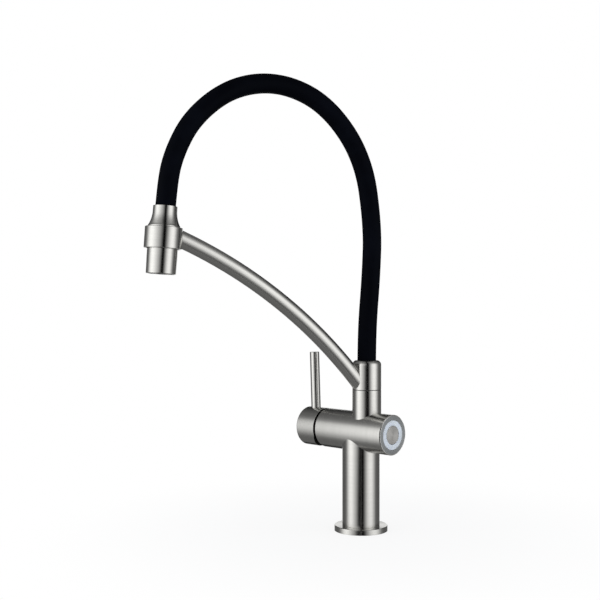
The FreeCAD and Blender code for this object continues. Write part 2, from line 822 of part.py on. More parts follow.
def lever_rod():
    body = new_body("lever_rod", lever_frame())
    stub_bottom = at.lever_seat - at.lever_thread_length
    turn_profile(body, "rod_turned", [
        (0, stub_bottom),
        (at.lever_thread_radius, stub_bottom),
        (at.lever_thread_radius, at.lever_seat),
        (at.lever_radius, at.lever_seat),
        (at.lever_radius, at.lever_top),
        (0, at.lever_top),
    ])
    dress_rims(body, "rod_top_edge", "PartDesign::Chamfer", at.lever_top_bevel,
               [(at.lever_radius, at.lever_top)])
    screw = new_body("cap_screw", lever_frame())
    screw_bottom = at.stem_square / 2 + at.slip_gap
    screw_top = stub_bottom - at.cap_screw_gap
    turn_profile(screw, "screw_turned", [
        (0, screw_bottom),
        (at.lever_thread_radius / 2, screw_bottom),
        (at.lever_thread_radius, screw_bottom + at.lever_thread_radius / 2),
        (at.lever_thread_radius, screw_top),
        (0, screw_top),
    ])
    hexagon_recess(screw, at.lever_thread_radius / 2, screw_top, at.lever_thread_radius / 2)


def hexagon_recess(body, radius, top, depth):
    corners = []
    for turn in range(6):
        angle = math.radians(60 * turn + 30)
        corners.append((radius * math.cos(angle), radius * math.sin(angle)))
    cut_pocket(body, "hexagon_recess", depth, outline(corners), lift=top)


def swivel_parts():
    spigot = new_body("swivel_spigot", slot_side())
    bottom = at.cross_bore_radius + at.spigot_floor_gap - at.neck_rise
    nipple_end = bottom - at.nipple_length
    groove = at.seal_section + at.slip_gap * 2
    groove_floor = at.spigot_radius - at.seal_section + at.seal_stand
    low = at.lower_seal_rise
    high = at.spigot_rise - at.upper_seal_drop
    turn_profile(spigot, "spigot_turned", [
        (at.spigot_water_radius / 2, nipple_end),
        (at.nipple_radius, nipple_end),
        (at.nipple_radius, bottom),
        (at.spigot_radius, bottom),
        (at.spigot_radius, low - groove / 2),
        (groove_floor, low - groove / 2),
        (groove_floor, low + groove / 2),
        (at.spigot_radius, low + groove / 2),
        (at.spigot_radius, high - groove / 2),
        (groove_floor, high - groove / 2),
        (groove_floor, high + groove / 2),
        (at.spigot_radius, high + groove / 2),
        (at.spigot_radius, at.spigot_rise),
        (at.spigot_water_radius, at.spigot_rise),
        (at.spigot_water_radius, bottom + at.spigot_water_radius),
        (at.spigot_water_radius / 2, bottom + at.spigot_water_radius),
    ])
    half = at.stop_slot_width / 2
    turn_profile(spigot, "stop_slot", [
        (at.spigot_radius - at.stop_slot_depth, at.stop_slot_rise - half),
        (at.spigot_radius + at.slip_gap, at.stop_slot_rise - half),
        (at.spigot_radius + at.slip_gap, at.stop_slot_rise + half),
        (at.spigot_radius - at.stop_slot_depth, at.stop_slot_rise + half),
    ], kind="PartDesign::Groove", angle=at.swivel_travel + at.stop_tip_angle)

    tube_body("swivel_washer", swivel, at.neck_radius - at.running_gap,
              at.spigot_radius + at.slip_gap, 0, at.washer_thickness)

    seals = new_body("swivel_seals", swivel)
    centre = at.spigot_radius - at.seal_section / 2 + at.seal_stand
    for name, height in (("lower_seal", low), ("upper_seal", high)):
        sketch = new_sketch(seals, f"{name}_outline", "XZ_Plane")
        draw_circle(sketch, at.seal_section / 2, centre, height)
        ring = seals.newObject("PartDesign::Revolution", name)
        ring.Profile = sketch
        ring.ReferenceAxis = (sketch, ["V_Axis"])
        ring.Angle = 360


def slot_side():
    """The spigot is turned so that its slot is centred on the back, where the stop screw is."""
    back = 90 - (at.swivel_travel + at.stop_tip_angle) / 2
    return (at.swivel_offset, 0, neck_top, back, 0)


def swivel_collar():
    body = new_body("swivel_collar", spout)
    collar_top = at.joint_gap + at.collar_length
    hose_floor = at.hose_seat_rise - at.running_gap
    chamber_top = at.spigot_rise + at.swivel_chamber
    turn_profile(body, "collar_turned", [
        (at.swivel_bore_radius, at.joint_gap),
        (at.neck_radius, at.joint_gap),
        (at.neck_radius, collar_top),
        (at.hose_socket_radius, collar_top),
        (at.hose_socket_radius, hose_floor),
        (at.hose_bore_radius, hose_floor),
        (at.hose_bore_radius, chamber_top),
        (at.swivel_bore_radius, chamber_top),
    ])
    # the stop screw comes in from the back, away from the spout
    cut_pocket(body, "stop_screw_hole", at.neck_radius,
               circles((at.stop_screw_radius, 0, at.stop_slot_rise)), plane="YZ_Plane")
    dress_rims(body, "collar_rounding", "PartDesign::Fillet", at.collar_rounding,
               [(at.neck_radius, collar_top)])

    facing_back = (at.swivel_offset, 0, neck_top + at.stop_slot_rise, at.spout_angle + 90, 90)
    screw = new_body("swivel_stop_screw", facing_back)
    tip = at.spigot_radius - at.stop_slot_depth + at.running_gap
    shoulder = at.swivel_bore_radius + at.slip_gap
    outer = at.neck_radius - at.running_gap
    turn_profile(screw, "stop_screw_turned", [
        (0, tip),
        (at.stop_tip_radius, tip),
        (at.stop_tip_radius, shoulder),
        (at.stop_screw_radius, shoulder),
        (at.stop_screw_radius, outer),
        (0, outer),
    ])
    hexagon_recess(screw, at.stop_screw_radius / 2, outer, at.stop_screw_radius)

    barb_fitting("hose_root_fitting", spout, chamber_top)


def barb_fitting(name, frame, seat):
    """A tube that points up into the hose, held from below by its flange at the seat's height."""
    body = new_body(name, frame)
    flange_bottom = seat - at.barb_flange_thickness
    shank = at.hose_bore_radius - at.slip_gap
    top = seat + at.barb_length
    turn_profile(body, "barb_turned", [
        (at.barb_bore_radius, flange_bottom),
        (at.barb_flange_radius, flange_bottom),
        (at.barb_flange_radius, seat),
        (shank, seat),
        (shank, top - at.barb_taper_length),
        (shank - at.barb_taper, top),
        (at.barb_bore_radius, top),
    ])


def read(sheet, name):
    return float(sheet.get(name))


def add_shape(name, shape, frame):
    """A part made by sweeping along its own path."""
    feature = doc.addObject("Part::Feature", name)
    feature.Label = name
    feature.Shape = shape
    feature.setExpression("Placement", placement_text(*frame))
    bodies.append(feature)
    return feature


def arm_path(sheet):
    """The arm's centre line: one large bend from the swivel's axis to the spray head's."""
    radius = read(sheet, "arm_bend_radius")
    start = FreeCAD.Vector(0, 0, read(sheet, "arm_foot_rise"))
    end_rise = read(sheet, "ring_rise") + read(sheet, "arm_end_rise")
    end = FreeCAD.Vector(read(sheet, "spout_reach"), 0, end_rise)
    chord = end - start
    bulge = FreeCAD.Vector(-chord.z, 0, chord.x).normalize()
    sagitta = radius - math.sqrt(radius ** 2 - chord.Length ** 2 / 4)
    middle = (start + end) * 0.5 + bulge * sagitta
    return Part.Wire([Part.Arc(start, middle, end).toShape()])


def support_arm(sheet):
    path = arm_path(sheet)
    start = path.Edges[0].valueAt(path.Edges[0].FirstParameter)
    heading = path.Edges[0].tangentAt(path.Edges[0].FirstParameter)
    radius = read(sheet, "arm_radius")
    rod = swept(path, start, heading, radius)
    hollow = swept(path, start, heading, radius - read(sheet, "arm_wall"))
    reach = read(sheet, "spout_reach")
    far_below = FreeCAD.Vector(0, 0, -reach)
    collar = Part.makeCylinder(read(sheet, "neck_radius"), 2 * reach, far_below)
    ring = Part.makeCylinder(read(sheet, "ring_radius"), 2 * reach, far_below)
    ring.Placement = FreeCAD.Placement(
        FreeCAD.Vector(reach, 0, read(sheet, "ring_rise")),
        FreeCAD.Rotation(0, -read(sheet, "head_tilt"), 0))
    arm = rod.cut(hollow).cut(collar).cut(ring)
    pieces = sorted(arm.Solids, key=lambda solid: solid.Volume)
    add_shape("support_arm", pieces[-1], spout)


def swept(path, start, heading, radius):
    ring = Part.Wire([Part.Circle(start, heading, radius).toShape()])
    return path.makePipeShell([ring], True, True)


def rounded_path(points):
    """Straight runs joined by tangent arcs; returns the wire and the arcs' radii."""
    edges = []
    radii = []
    last = points[0]
    for before, corner, after in zip(points, points[1:], points[2:]):
        back = before - corner
        onward = after - corner
        shorter = min(back.Length, onward.Length)
        cut = 0.45 * shorter
        start = corner + back.normalize() * cut
        end = corner + onward.normalize() * cut
        turn = math.pi - back.getAngle(onward)
        radius = cut / math.tan(turn / 2)
        toward = (back + onward).normalize()
        middle = corner + toward * (radius / math.cos(turn / 2) - radius)
        edges.append(Part.LineSegment(last, start).toShape())
        edges.append(Part.Arc(start, middle, end).toShape())
        radii.append(radius)
        last = end
    edges.append(Part.LineSegment(last, points[-1]).toShape())
    return Part.Wire(edges), radii


# The hose's path in the spout's upright plane: (distance out, height above the neck) of each corner
HOSE_CORNERS = (
    (0.0, 59.5),
    (-5.0, 114.0),
    (-7.0, 165.0),
    (4.0, 233.5),
    (44.5, 283.5),
    (95.5, 302.0),
    (146.0, 293.5),
    (186.5, 262.0),
    (206.5, 224.5),
)


def spout_hose(sheet):
    tilt = math.radians(read(sheet, "head_tilt"))
    reach = read(sheet, "spout_reach")
    ring_rise = read(sheet, "ring_rise")

    def along_head(distance):
        out = reach - distance * math.sin(tilt)
        return FreeCAD.Vector(out, 0, ring_rise + distance * math.cos(tilt))

    hose_end = read(sheet, "head_hose_seat")
    points = [FreeCAD.Vector(0, 0, read(sheet, "hose_seat_rise"))]
    points += [FreeCAD.Vector(out, 0, height) for out, height in HOSE_CORNERS]
    points.append(along_head(hose_end + read(sheet, "hose_last_run")))
    points.append(along_head(hose_end))
    path, radii = rounded_path(points)
    up = FreeCAD.Vector(0, 0, 1)
    outer_radius = read(sheet, "hose_radius")
    bore_radius = read(sheet, "hose_bore_radius")
    hose = swept(path, points[0], up, outer_radius).cut(swept(path, points[0], up, bore_radius))
    section = math.pi * (outer_radius ** 2 - bore_radius ** 2)
    report_tube("hose", hose, path, section, radii)
    add_shape("spout_hose", hose, spout)


def report_tube(name, tube, path, section, radii):
    share = tube.Volume / (section * path.Length)
    print(f"{name} length {path.Length:.1f}, volume over section times length {share:.4f}")
    print(f"{name} bend radii", [round(radius, 1) for radius in radii])


def signal_cable(sheet):
    x = read(sheet, "cable_x")
    y = read(sheet, "cable_y")
    low = read(sheet, "deck_clearance")
    straight_top = low + read(sheet, "cable_straight")
    slack = read(sheet, "cable_slack")
    bend_height = read(sheet, "cross_height") - y
    board_back = (read(sheet, "button_side_length") - read(sheet, "switch_bore_depth")
                  + read(sheet, "housing_gasket_thickness") + read(sheet, "cup_wall")
                  + read(sheet, "board_stand"))
    points = [
        FreeCAD.Vector(x, y, low),
        FreeCAD.Vector(x, y, straight_top),
        FreeCAD.Vector(x + slack, y + slack / 2, (straight_top + bend_height) / 2),
        FreeCAD.Vector(x, y, bend_height),
        FreeCAD.Vector(board_back, y, bend_height + read(sheet, "cable_climb")),
    ]
    path, radii = rounded_path(points)
    radius = read(sheet, "cable_diameter") / 2
    cable = swept(path, points[0], FreeCAD.Vector(0, 0, 1), radius)
    report_tube("cable", cable, path, math.pi * radius ** 2, radii)
    add_shape("signal_cable", cable, upright)


def dock():
    half = at.ring_length / 2
    ring = tube_body("dock_ring", head, at.ring_radius, at.ring_bore_radius, -half, half)
    dress_rims(ring, "ring_rounding", "PartDesign::Fillet", at.ring_edge,
               [(at.ring_radius, -half), (at.ring_radius, half)])
    outer = at.ring_bore_radius - at.slip_gap / 2
    tube_body("dock_liner", head, outer, outer - at.liner_wall, -half + at.running_gap, half)


def spray_head():
    """The head rests with its lip on the ring's top; heights are along its axis from the ring's centre."""
    rest = at.ring_length / 2 + at.slip_gap
    lip_top = rest + at.lip_height
    top = at.ring_length / 2 + at.cone_length
    hose_floor = at.head_hose_seat - at.running_gap
    cone_bottom = hose_floor - at.cone_floor
    plug = at.shell_radius - at.shell_wall - at.slip_gap
    neck = new_body("spray_neck", head)
    turn_profile(neck, "neck_turned", [
        (at.hose_bore_radius, cone_bottom),
        (at.hose_bore_radius, hose_floor),
        (at.hose_socket_radius, hose_floor),
        (at.hose_socket_radius, top),
        (at.cone_top_radius, top),
        (at.cone_waist_radius, top - at.cone_waist_drop),
        (at.cone_foot_radius, lip_top + at.cone_foot_rise, at.cone_bend_radius),
        (at.lip_radius, lip_top),
        (at.lip_radius, rest),
        (plug, rest),
        (plug, cone_bottom),
    ])
    barb_fitting("hose_head_fitting", head, cone_bottom)

    shell = new_body("spray_shell", head)
    bottom = -at.shell_drop
    inner = at.shell_radius - at.shell_wall
    turn_profile(shell, "shell_turned", [
        (at.shell_end_radius - at.shell_wall, bottom),
        (at.shell_end_radius, bottom),
        (at.shell_radius, bottom / 2),
        (at.shell_radius, rest),
        (inner, rest),
        (inner, bottom / 2),
    ])
    dress_rims(shell, "shell_edge", "PartDesign::Fillet", at.shell_edge,
               [(at.shell_end_radius, bottom)])

    valve_top = cone_bottom - at.barb_flange_thickness - at.slip_gap
    valve_bottom = valve_top - at.valve_length
    tube_body("check_valve", head, at.valve_radius, at.barb_bore_radius, valve_bottom, valve_top)

    cage_radius = at.shell_end_radius - at.shell_wall - at.slip_gap
    cage_bottom = bottom + at.aerator_recess
    cage_top = cage_bottom + at.aerator_length
    core_bottom = cage_top + at.aerator_seal_thickness
    core_top = valve_bottom + at.valve_length / 2
    valve_seat = at.valve_radius + at.slip_gap
    core = new_body("spray_core", head)
    turn_profile(core, "core_turned", [
        (at.barb_bore_radius, core_bottom),
        (cage_radius, core_bottom),
        (cage_radius, core_top),
        (valve_seat, core_top),
        (valve_seat, valve_bottom),
        (at.barb_bore_radius, valve_bottom),
    ])
    tube_body("aerator_seal", head, cage_radius, cage_radius - at.aerator_seal_width,
              cage_top, core_bottom)
    tube_body("aerator_cage", head, cage_radius, cage_radius - at.aerator_wall,
              cage_bottom, cage_top)
    spray_disc(cage_radius - at.aerator_wall - at.slip_gap / 2,
               cage_bottom + at.spray_disc_recess)


def spray_disc(radius, bottom):
    disc = new_body("aerator_disc", head)
    raise_pad(disc, "disc_blank", at.spray_disc_thickness, circles((radius,)), lift=bottom)
    for order, (ring_radius, count) in enumerate(JET_RINGS):
        jet = cut_pocket(disc, f"jet_{order}", at.spray_disc_thickness,
                         circles((at.jet_radius, ring_radius, 0)),
                         lift=bottom + at.spray_disc_thickness)
        if count > 1:
            repeat_round(disc, f"jet_ring_{order}", jet, count)


def button_end():
    """Built inwards from the end face: height 0 is the face, deeper is negative."""
    holder = at.switch_bore_radius - at.slip_gap
    cup_inner = holder - at.cup_wall
    cup_back = at.housing_gasket_thickness - at.switch_bore_depth
    board_bottom = cup_back + at.cup_wall + at.board_stand
    board_top = board_bottom + at.board_thickness
    switch_top = board_top + at.switch_height
    spring_seat = switch_top + at.slip_gap + at.guide_wall
    face_rings(holder)
    push_button(switch_top, spring_seat)
    switch_parts(board_bottom, board_top, switch_top, cup_inner)
    spring_guide(board_top, spring_seat)
    switch_housing(holder, cup_inner, cup_back)


def face_rings(holder):
    """The metal bezel and, inside it, the light ring whose foot it holds."""
    seat = -at.bezel_seat_depth
    back = -at.bezel_depth
    foot = at.light_outer_radius + at.light_ring_foot
    rim = at.bezel_seat_radius - at.slip_gap
    bezel = new_body("bezel_ring", button_face)
    turn_profile(bezel, "bezel_turned", [
        (at.light_outer_radius, 0),
        (at.light_outer_radius, seat),
        (foot, seat),
        (foot, back),
        (holder, back),
        (holder, seat),
        (rim, seat),
        (rim, 0),
    ])
    light = new_body("light_ring", button_face)
    light_edge = at.light_outer_radius - at.slip_gap
    turn_profile(light, "diffuser_turned", [
        (at.light_inner_radius, -at.slip_gap),
        (light_edge, -at.slip_gap),
        (light_edge, seat),
        (foot - at.slip_gap, seat),
        (foot - at.slip_gap, back),
        (at.light_inner_radius, back),
    ])


def push_button(switch_top, spring_seat):
    button = rod_body("button_disc", button_face, at.button_radius, -at.button_thickness, plain(0))
    dress_rims(button, "button_edge", "PartDesign::Chamfer", at.running_gap,
               [(at.button_radius, 0)])

    nub_top = switch_top + at.button_travel + at.running_gap
    plate_top = -at.button_thickness
    plate_bottom = plate_top - at.plunger_plate_thickness
    plunger = new_body("button_plunger", button_face)
    turn_profile(plunger, "plunger_turned", [
        (0, nub_top),
        (at.plunger_radius, nub_top),
        (at.plunger_radius, plate_bottom),
        (at.plunger_plate_radius, plate_bottom),
        (at.plunger_plate_radius, plate_top),
        (0, plate_top),
    ])
    rod_body("switch_nub", button_face, at.plunger_radius, switch_top - at.slip_gap * 2, nub_top)

    spring = new_body("button_spring", button_face)
    section = new_sketch(spring, "wire_section", "XZ_Plane")
    draw_circle(section, at.spring_wire / 2, at.spring_radius, spring_seat + at.spring_wire)
    coil = spring.newObject("PartDesign::AdditiveHelix", "coil")
    coil.Profile = section
    coil.ReferenceAxis = (section, ["V_Axis"])
    coil.Mode = "height-turns-growth"
    coil.setExpression("Height", (plate_bottom - spring_seat - at.spring_wire * 2).text)
    coil.Turns = SPRING_TURNS
    coil.Reversed = False


def spring_guide(board_top, spring_seat):
    """A cup upside down on the board: the spring stands on it and the plunger runs through it."""
    bore = at.plunger_radius + at.running_gap
    guide = new_body("switch_guide", button_face)
    turn_profile(guide, "guide_turned", [
        (bore, spring_seat - at.guide_wall),
        (at.guide_radius - at.guide_wall, spring_seat - at.guide_wall),
        (at.guide_radius - at.guide_wall, board_top),
        (at.guide_radius, board_top),
        (at.guide_radius, spring_seat),
        (bore, spring_seat),
    ])


def switch_parts(board_bottom, board_top, switch_top, cup_inner):
    board = new_body("led_board", button_face)
    raise_pad(board, "board_blank", at.board_thickness, circles((cup_inner - at.slip_gap,)),
              lift=board_bottom)

    switch = new_body("push_switch", button_face)
    half = at.switch_side / 2
    raise_pad(switch, "switch_blank", at.switch_height, box(-half, -half, half, half),
              lift=board_top)
    cut_pocket(switch, "nub_room", at.button_travel + at.running_gap,
               circles((at.plunger_radius + at.running_gap,)), lift=switch_top)

    leds = new_body("ring_leds", button_face)
    half = at.led_side / 2
    led = raise_pad(leds, "led", at.led_height,
                    box(at.led_ring_radius - half, -half, at.led_ring_radius + half, half),
                    lift=board_top)
    repeat_round(leds, "led_circle", led, LED_COUNT)


def switch_housing(holder, cup_inner, cup_back):
    rim = -at.bezel_depth - at.slip_gap
    floor = cup_back + at.cup_wall
    cup = new_body("switch_housing", button_face)
    turn_profile(cup, "cup_turned", [
        (0, cup_back),
        (holder, cup_back),
        (holder, rim),
        (cup_inner, rim),
        (cup_inner, floor),
        (0, floor),
    ])
    # the face frame has its own x pointing down
    cut_pocket(cup, "cable_hole", at.cup_wall,
               circles((at.cable_diameter, at.cable_y - at.cable_climb, at.cable_y)), lift=floor)
    tube_body("housing_gasket", button_face, holder, at.cross_bore_radius + at.slip_gap,
              -at.switch_bore_depth, cup_back)


def check_and_write():
    doc.recompute()
    for feature in doc.Objects:
        wrong = [word for word in ("Invalid", "Error") if word in feature.State]
        if wrong:
            raise RuntimeError(f"{feature.Name} is {wrong}")
    os.makedirs("parts", exist_ok=True)
    for body in bodies:
        shape = body.Shape
        if shape.isNull() or not shape.isValid() or not shape.Solids:
            raise RuntimeError(f"{body.Label} has no valid solid")
        shape.exportStep(f"parts/{body.Label}.step")
        span = shape.BoundBox
        print(f"{body.Label:20s} solids {len(shape.Solids)} volume {shape.Volume:10.1f}"
              f" x {span.XMin:8.2f} {span.XMax:8.2f} y {span.YMin:8.2f} {span.YMax:8.2f}"
              f" z {span.ZMin:8.2f} {span.ZMax:8.2f}")


def build():
    sheet = write_sheet()
    base_flange()
    mixer_body()
    inlet_block()
    supply_tubes()
    water_manifold()
    cartridge_parts()
    lever_stem()
    dust_ring()
    lever_cap()
    lever_rod()
    swivel_parts()
    swivel_collar()
    dock()
    support_arm(sheet)
    spout_hose(sheet)
    spray_head()
    button_end()
    signal_cable(sheet)
    check_and_write()


build()
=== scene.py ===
"""Kitchen mixer tap: its finishes, hose, spray jets and return spring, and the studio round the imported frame.

Everything is in metres in the part's own frame. The worktop is the plane z = 0, the cross body lies along X
with the lever at -X and the push button at +X, and the column stands on the origin.
"""

import logging
import math
from dataclasses import dataclass, field
from enum import Enum
from typing import Any

import bmesh
import bpy
from mathutils import Euler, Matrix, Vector


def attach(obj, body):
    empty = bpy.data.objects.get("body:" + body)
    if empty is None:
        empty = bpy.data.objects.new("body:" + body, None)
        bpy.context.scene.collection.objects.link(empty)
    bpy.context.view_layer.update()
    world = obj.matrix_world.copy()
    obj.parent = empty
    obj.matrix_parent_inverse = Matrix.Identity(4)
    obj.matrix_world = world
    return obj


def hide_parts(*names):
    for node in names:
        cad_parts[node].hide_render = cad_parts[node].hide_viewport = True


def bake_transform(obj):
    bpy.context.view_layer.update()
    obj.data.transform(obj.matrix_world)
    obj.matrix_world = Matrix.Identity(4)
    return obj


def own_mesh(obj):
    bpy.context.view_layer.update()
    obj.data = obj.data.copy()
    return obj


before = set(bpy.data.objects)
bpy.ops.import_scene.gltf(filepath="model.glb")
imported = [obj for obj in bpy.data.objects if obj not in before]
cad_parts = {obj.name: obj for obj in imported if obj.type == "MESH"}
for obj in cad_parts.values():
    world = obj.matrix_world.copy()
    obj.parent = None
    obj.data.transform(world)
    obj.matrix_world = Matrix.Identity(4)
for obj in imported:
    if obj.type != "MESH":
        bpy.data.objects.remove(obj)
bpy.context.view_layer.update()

LOG = logging.getLogger("mixer_tap")

Colour = tuple[float, float, float]
Point = tuple[float, float, float]
Pairs = tuple[tuple[float, float], ...]
Socket = bpy.types.NodeSocket
Ring = list[bmesh.types.BMVert]

WHITE: Colour = (1.0, 1.0, 1.0)
NICKEL: Colour = (0.625, 0.620, 0.597)
STAINLESS: Colour = (0.60, 0.60, 0.61)
BRASS: Colour = (0.76, 0.60, 0.33)

# The watts of a lamp, per square metre of it, that make it as bright as white
LAMP_WATTS = math.pi

# The values of a noise between which dark parts pass into light ones: in general, in fine lines, in dust
NOISE_SPAN = (0.3, 0.7)
LINE_SPAN = (0.25, 0.75)
DUST_SPAN = (0.35, 0.75)

# How far off a surface a point may be and still count as on it
SURFACE_SLACK = 0.0001

# The places that the finishes and the pieces share, as part.py has them
CROSS_HEIGHT = 0.1001
CROSS_RADIUS = 0.02007
BODY_END_X = 0.04205
SWIVEL_OFFSET = 0.0078
NECK_TOP = 0.1430
SPOUT_TURN = math.radians(-108.3)
SPOUT_REACH = 0.2158
RING_HEIGHT = 0.2909
HEAD_TILT = math.radians(4.0)
LEVER_LEAN = math.radians(2.3)
LEVER_FOOT_X = -0.0626
CAP_FLOOR_X = -0.0700
ARM_BEND_OUT = 0.3926
ARM_BEND_HEIGHT = -0.1707


def tinted(colour: Colour, factor: float, lift: float = 0.0) -> Colour:
    """A colour times a factor and lifted by an amount, no brighter than white."""
    return tuple(min(1.0, factor * part + lift) for part in colour)


def put_in_scene(name: str, data: bpy.types.ID) -> bpy.types.Object:
    """Put a new object into the scene.

    Args:
        name: The object's name.
        data: Its mesh, curve, lamp or camera.

    Returns:
        The object.
    """
    made = bpy.data.objects.new(name, data)
    bpy.context.scene.collection.objects.link(made)
    return made


def finished_mesh(name: str, shape: bmesh.types.BMesh, material: bpy.types.Material) -> bpy.types.Mesh:
    """Turn a drawn shape into a mesh with a material, and free the shape.

    Args:
        name: The mesh's name.
        shape: The drawn shape.
        material: Its material.

    Returns:
        The mesh.
    """
    mesh = bpy.data.meshes.new(name)
    shape.to_mesh(mesh)
    shape.free()
    mesh.materials.append(material)
    return mesh


def draw_ring(shape: bmesh.types.BMesh, middle: Vector, first: Vector, second: Vector, sides: int) -> Ring:
    """Put a ring of points into a shape.

    Args:
        shape: The shape.
        middle: Middle of the ring.
        first: From the middle to the ring's first point.
        second: The same a quarter turn further.
        sides: Number of points.

    Returns:
        The points, in order.
    """
    turns = [2 * math.pi * side / sides for side in range(sides)]
    return [shape.verts.new(middle + first * math.cos(turn) + second * math.sin(turn)) for turn in turns]


def draw_tube(shape: bmesh.types.BMesh, rings: list[Ring]) -> None:
    """Draw the faces between rings of points that follow each other along a tube.

    Args:
        shape: The shape that the points are in.
        rings: The rings, with as many points each.
    """
    for ring, following in zip(rings, rings[1:]):
        for side in range(len(ring)):
            other = (side + 1) % len(ring)
            shape.faces.new((ring[side], following[side], following[other], ring[other]))


def along_spout(out: float, height: float) -> Point:
    """The point of the spout's upright plane at a distance out from the swivel's axis and a height."""
    return (SWIVEL_OFFSET + out * math.cos(SPOUT_TURN), out * math.sin(SPOUT_TURN), height)


@dataclass(frozen=True)
class TurnedAxis:
    """The axis that a part was turned or bent about, which its grain runs round.

    Attributes:
        point: A point on the axis.
        turn: Euler angles that take upright to the axis, in radians.
    """

    point: Point
    turn: Point = (0.0, 0.0, 0.0)


class Lathe(Enum):
    """The axes that the tap's metal parts were finished about."""

    COLUMN = TurnedAxis((0.0, 0.0, 0.0))
    NECK = TurnedAxis((SWIVEL_OFFSET, 0.0, 0.0))
    CROSS = TurnedAxis((0.0, 0.0, CROSS_HEIGHT), (0.0, math.pi / 2, 0.0))
    LEVER = TurnedAxis((LEVER_FOOT_X, 0.0, CROSS_HEIGHT), (0.0, -LEVER_LEAN, 0.0))
    ARM = TurnedAxis(along_spout(ARM_BEND_OUT, ARM_BEND_HEIGHT), (math.pi / 2, 0.0, SPOUT_TURN))
    HEAD = TurnedAxis(along_spout(SPOUT_REACH, RING_HEIGHT), (0.0, -HEAD_TILT, SPOUT_TURN))


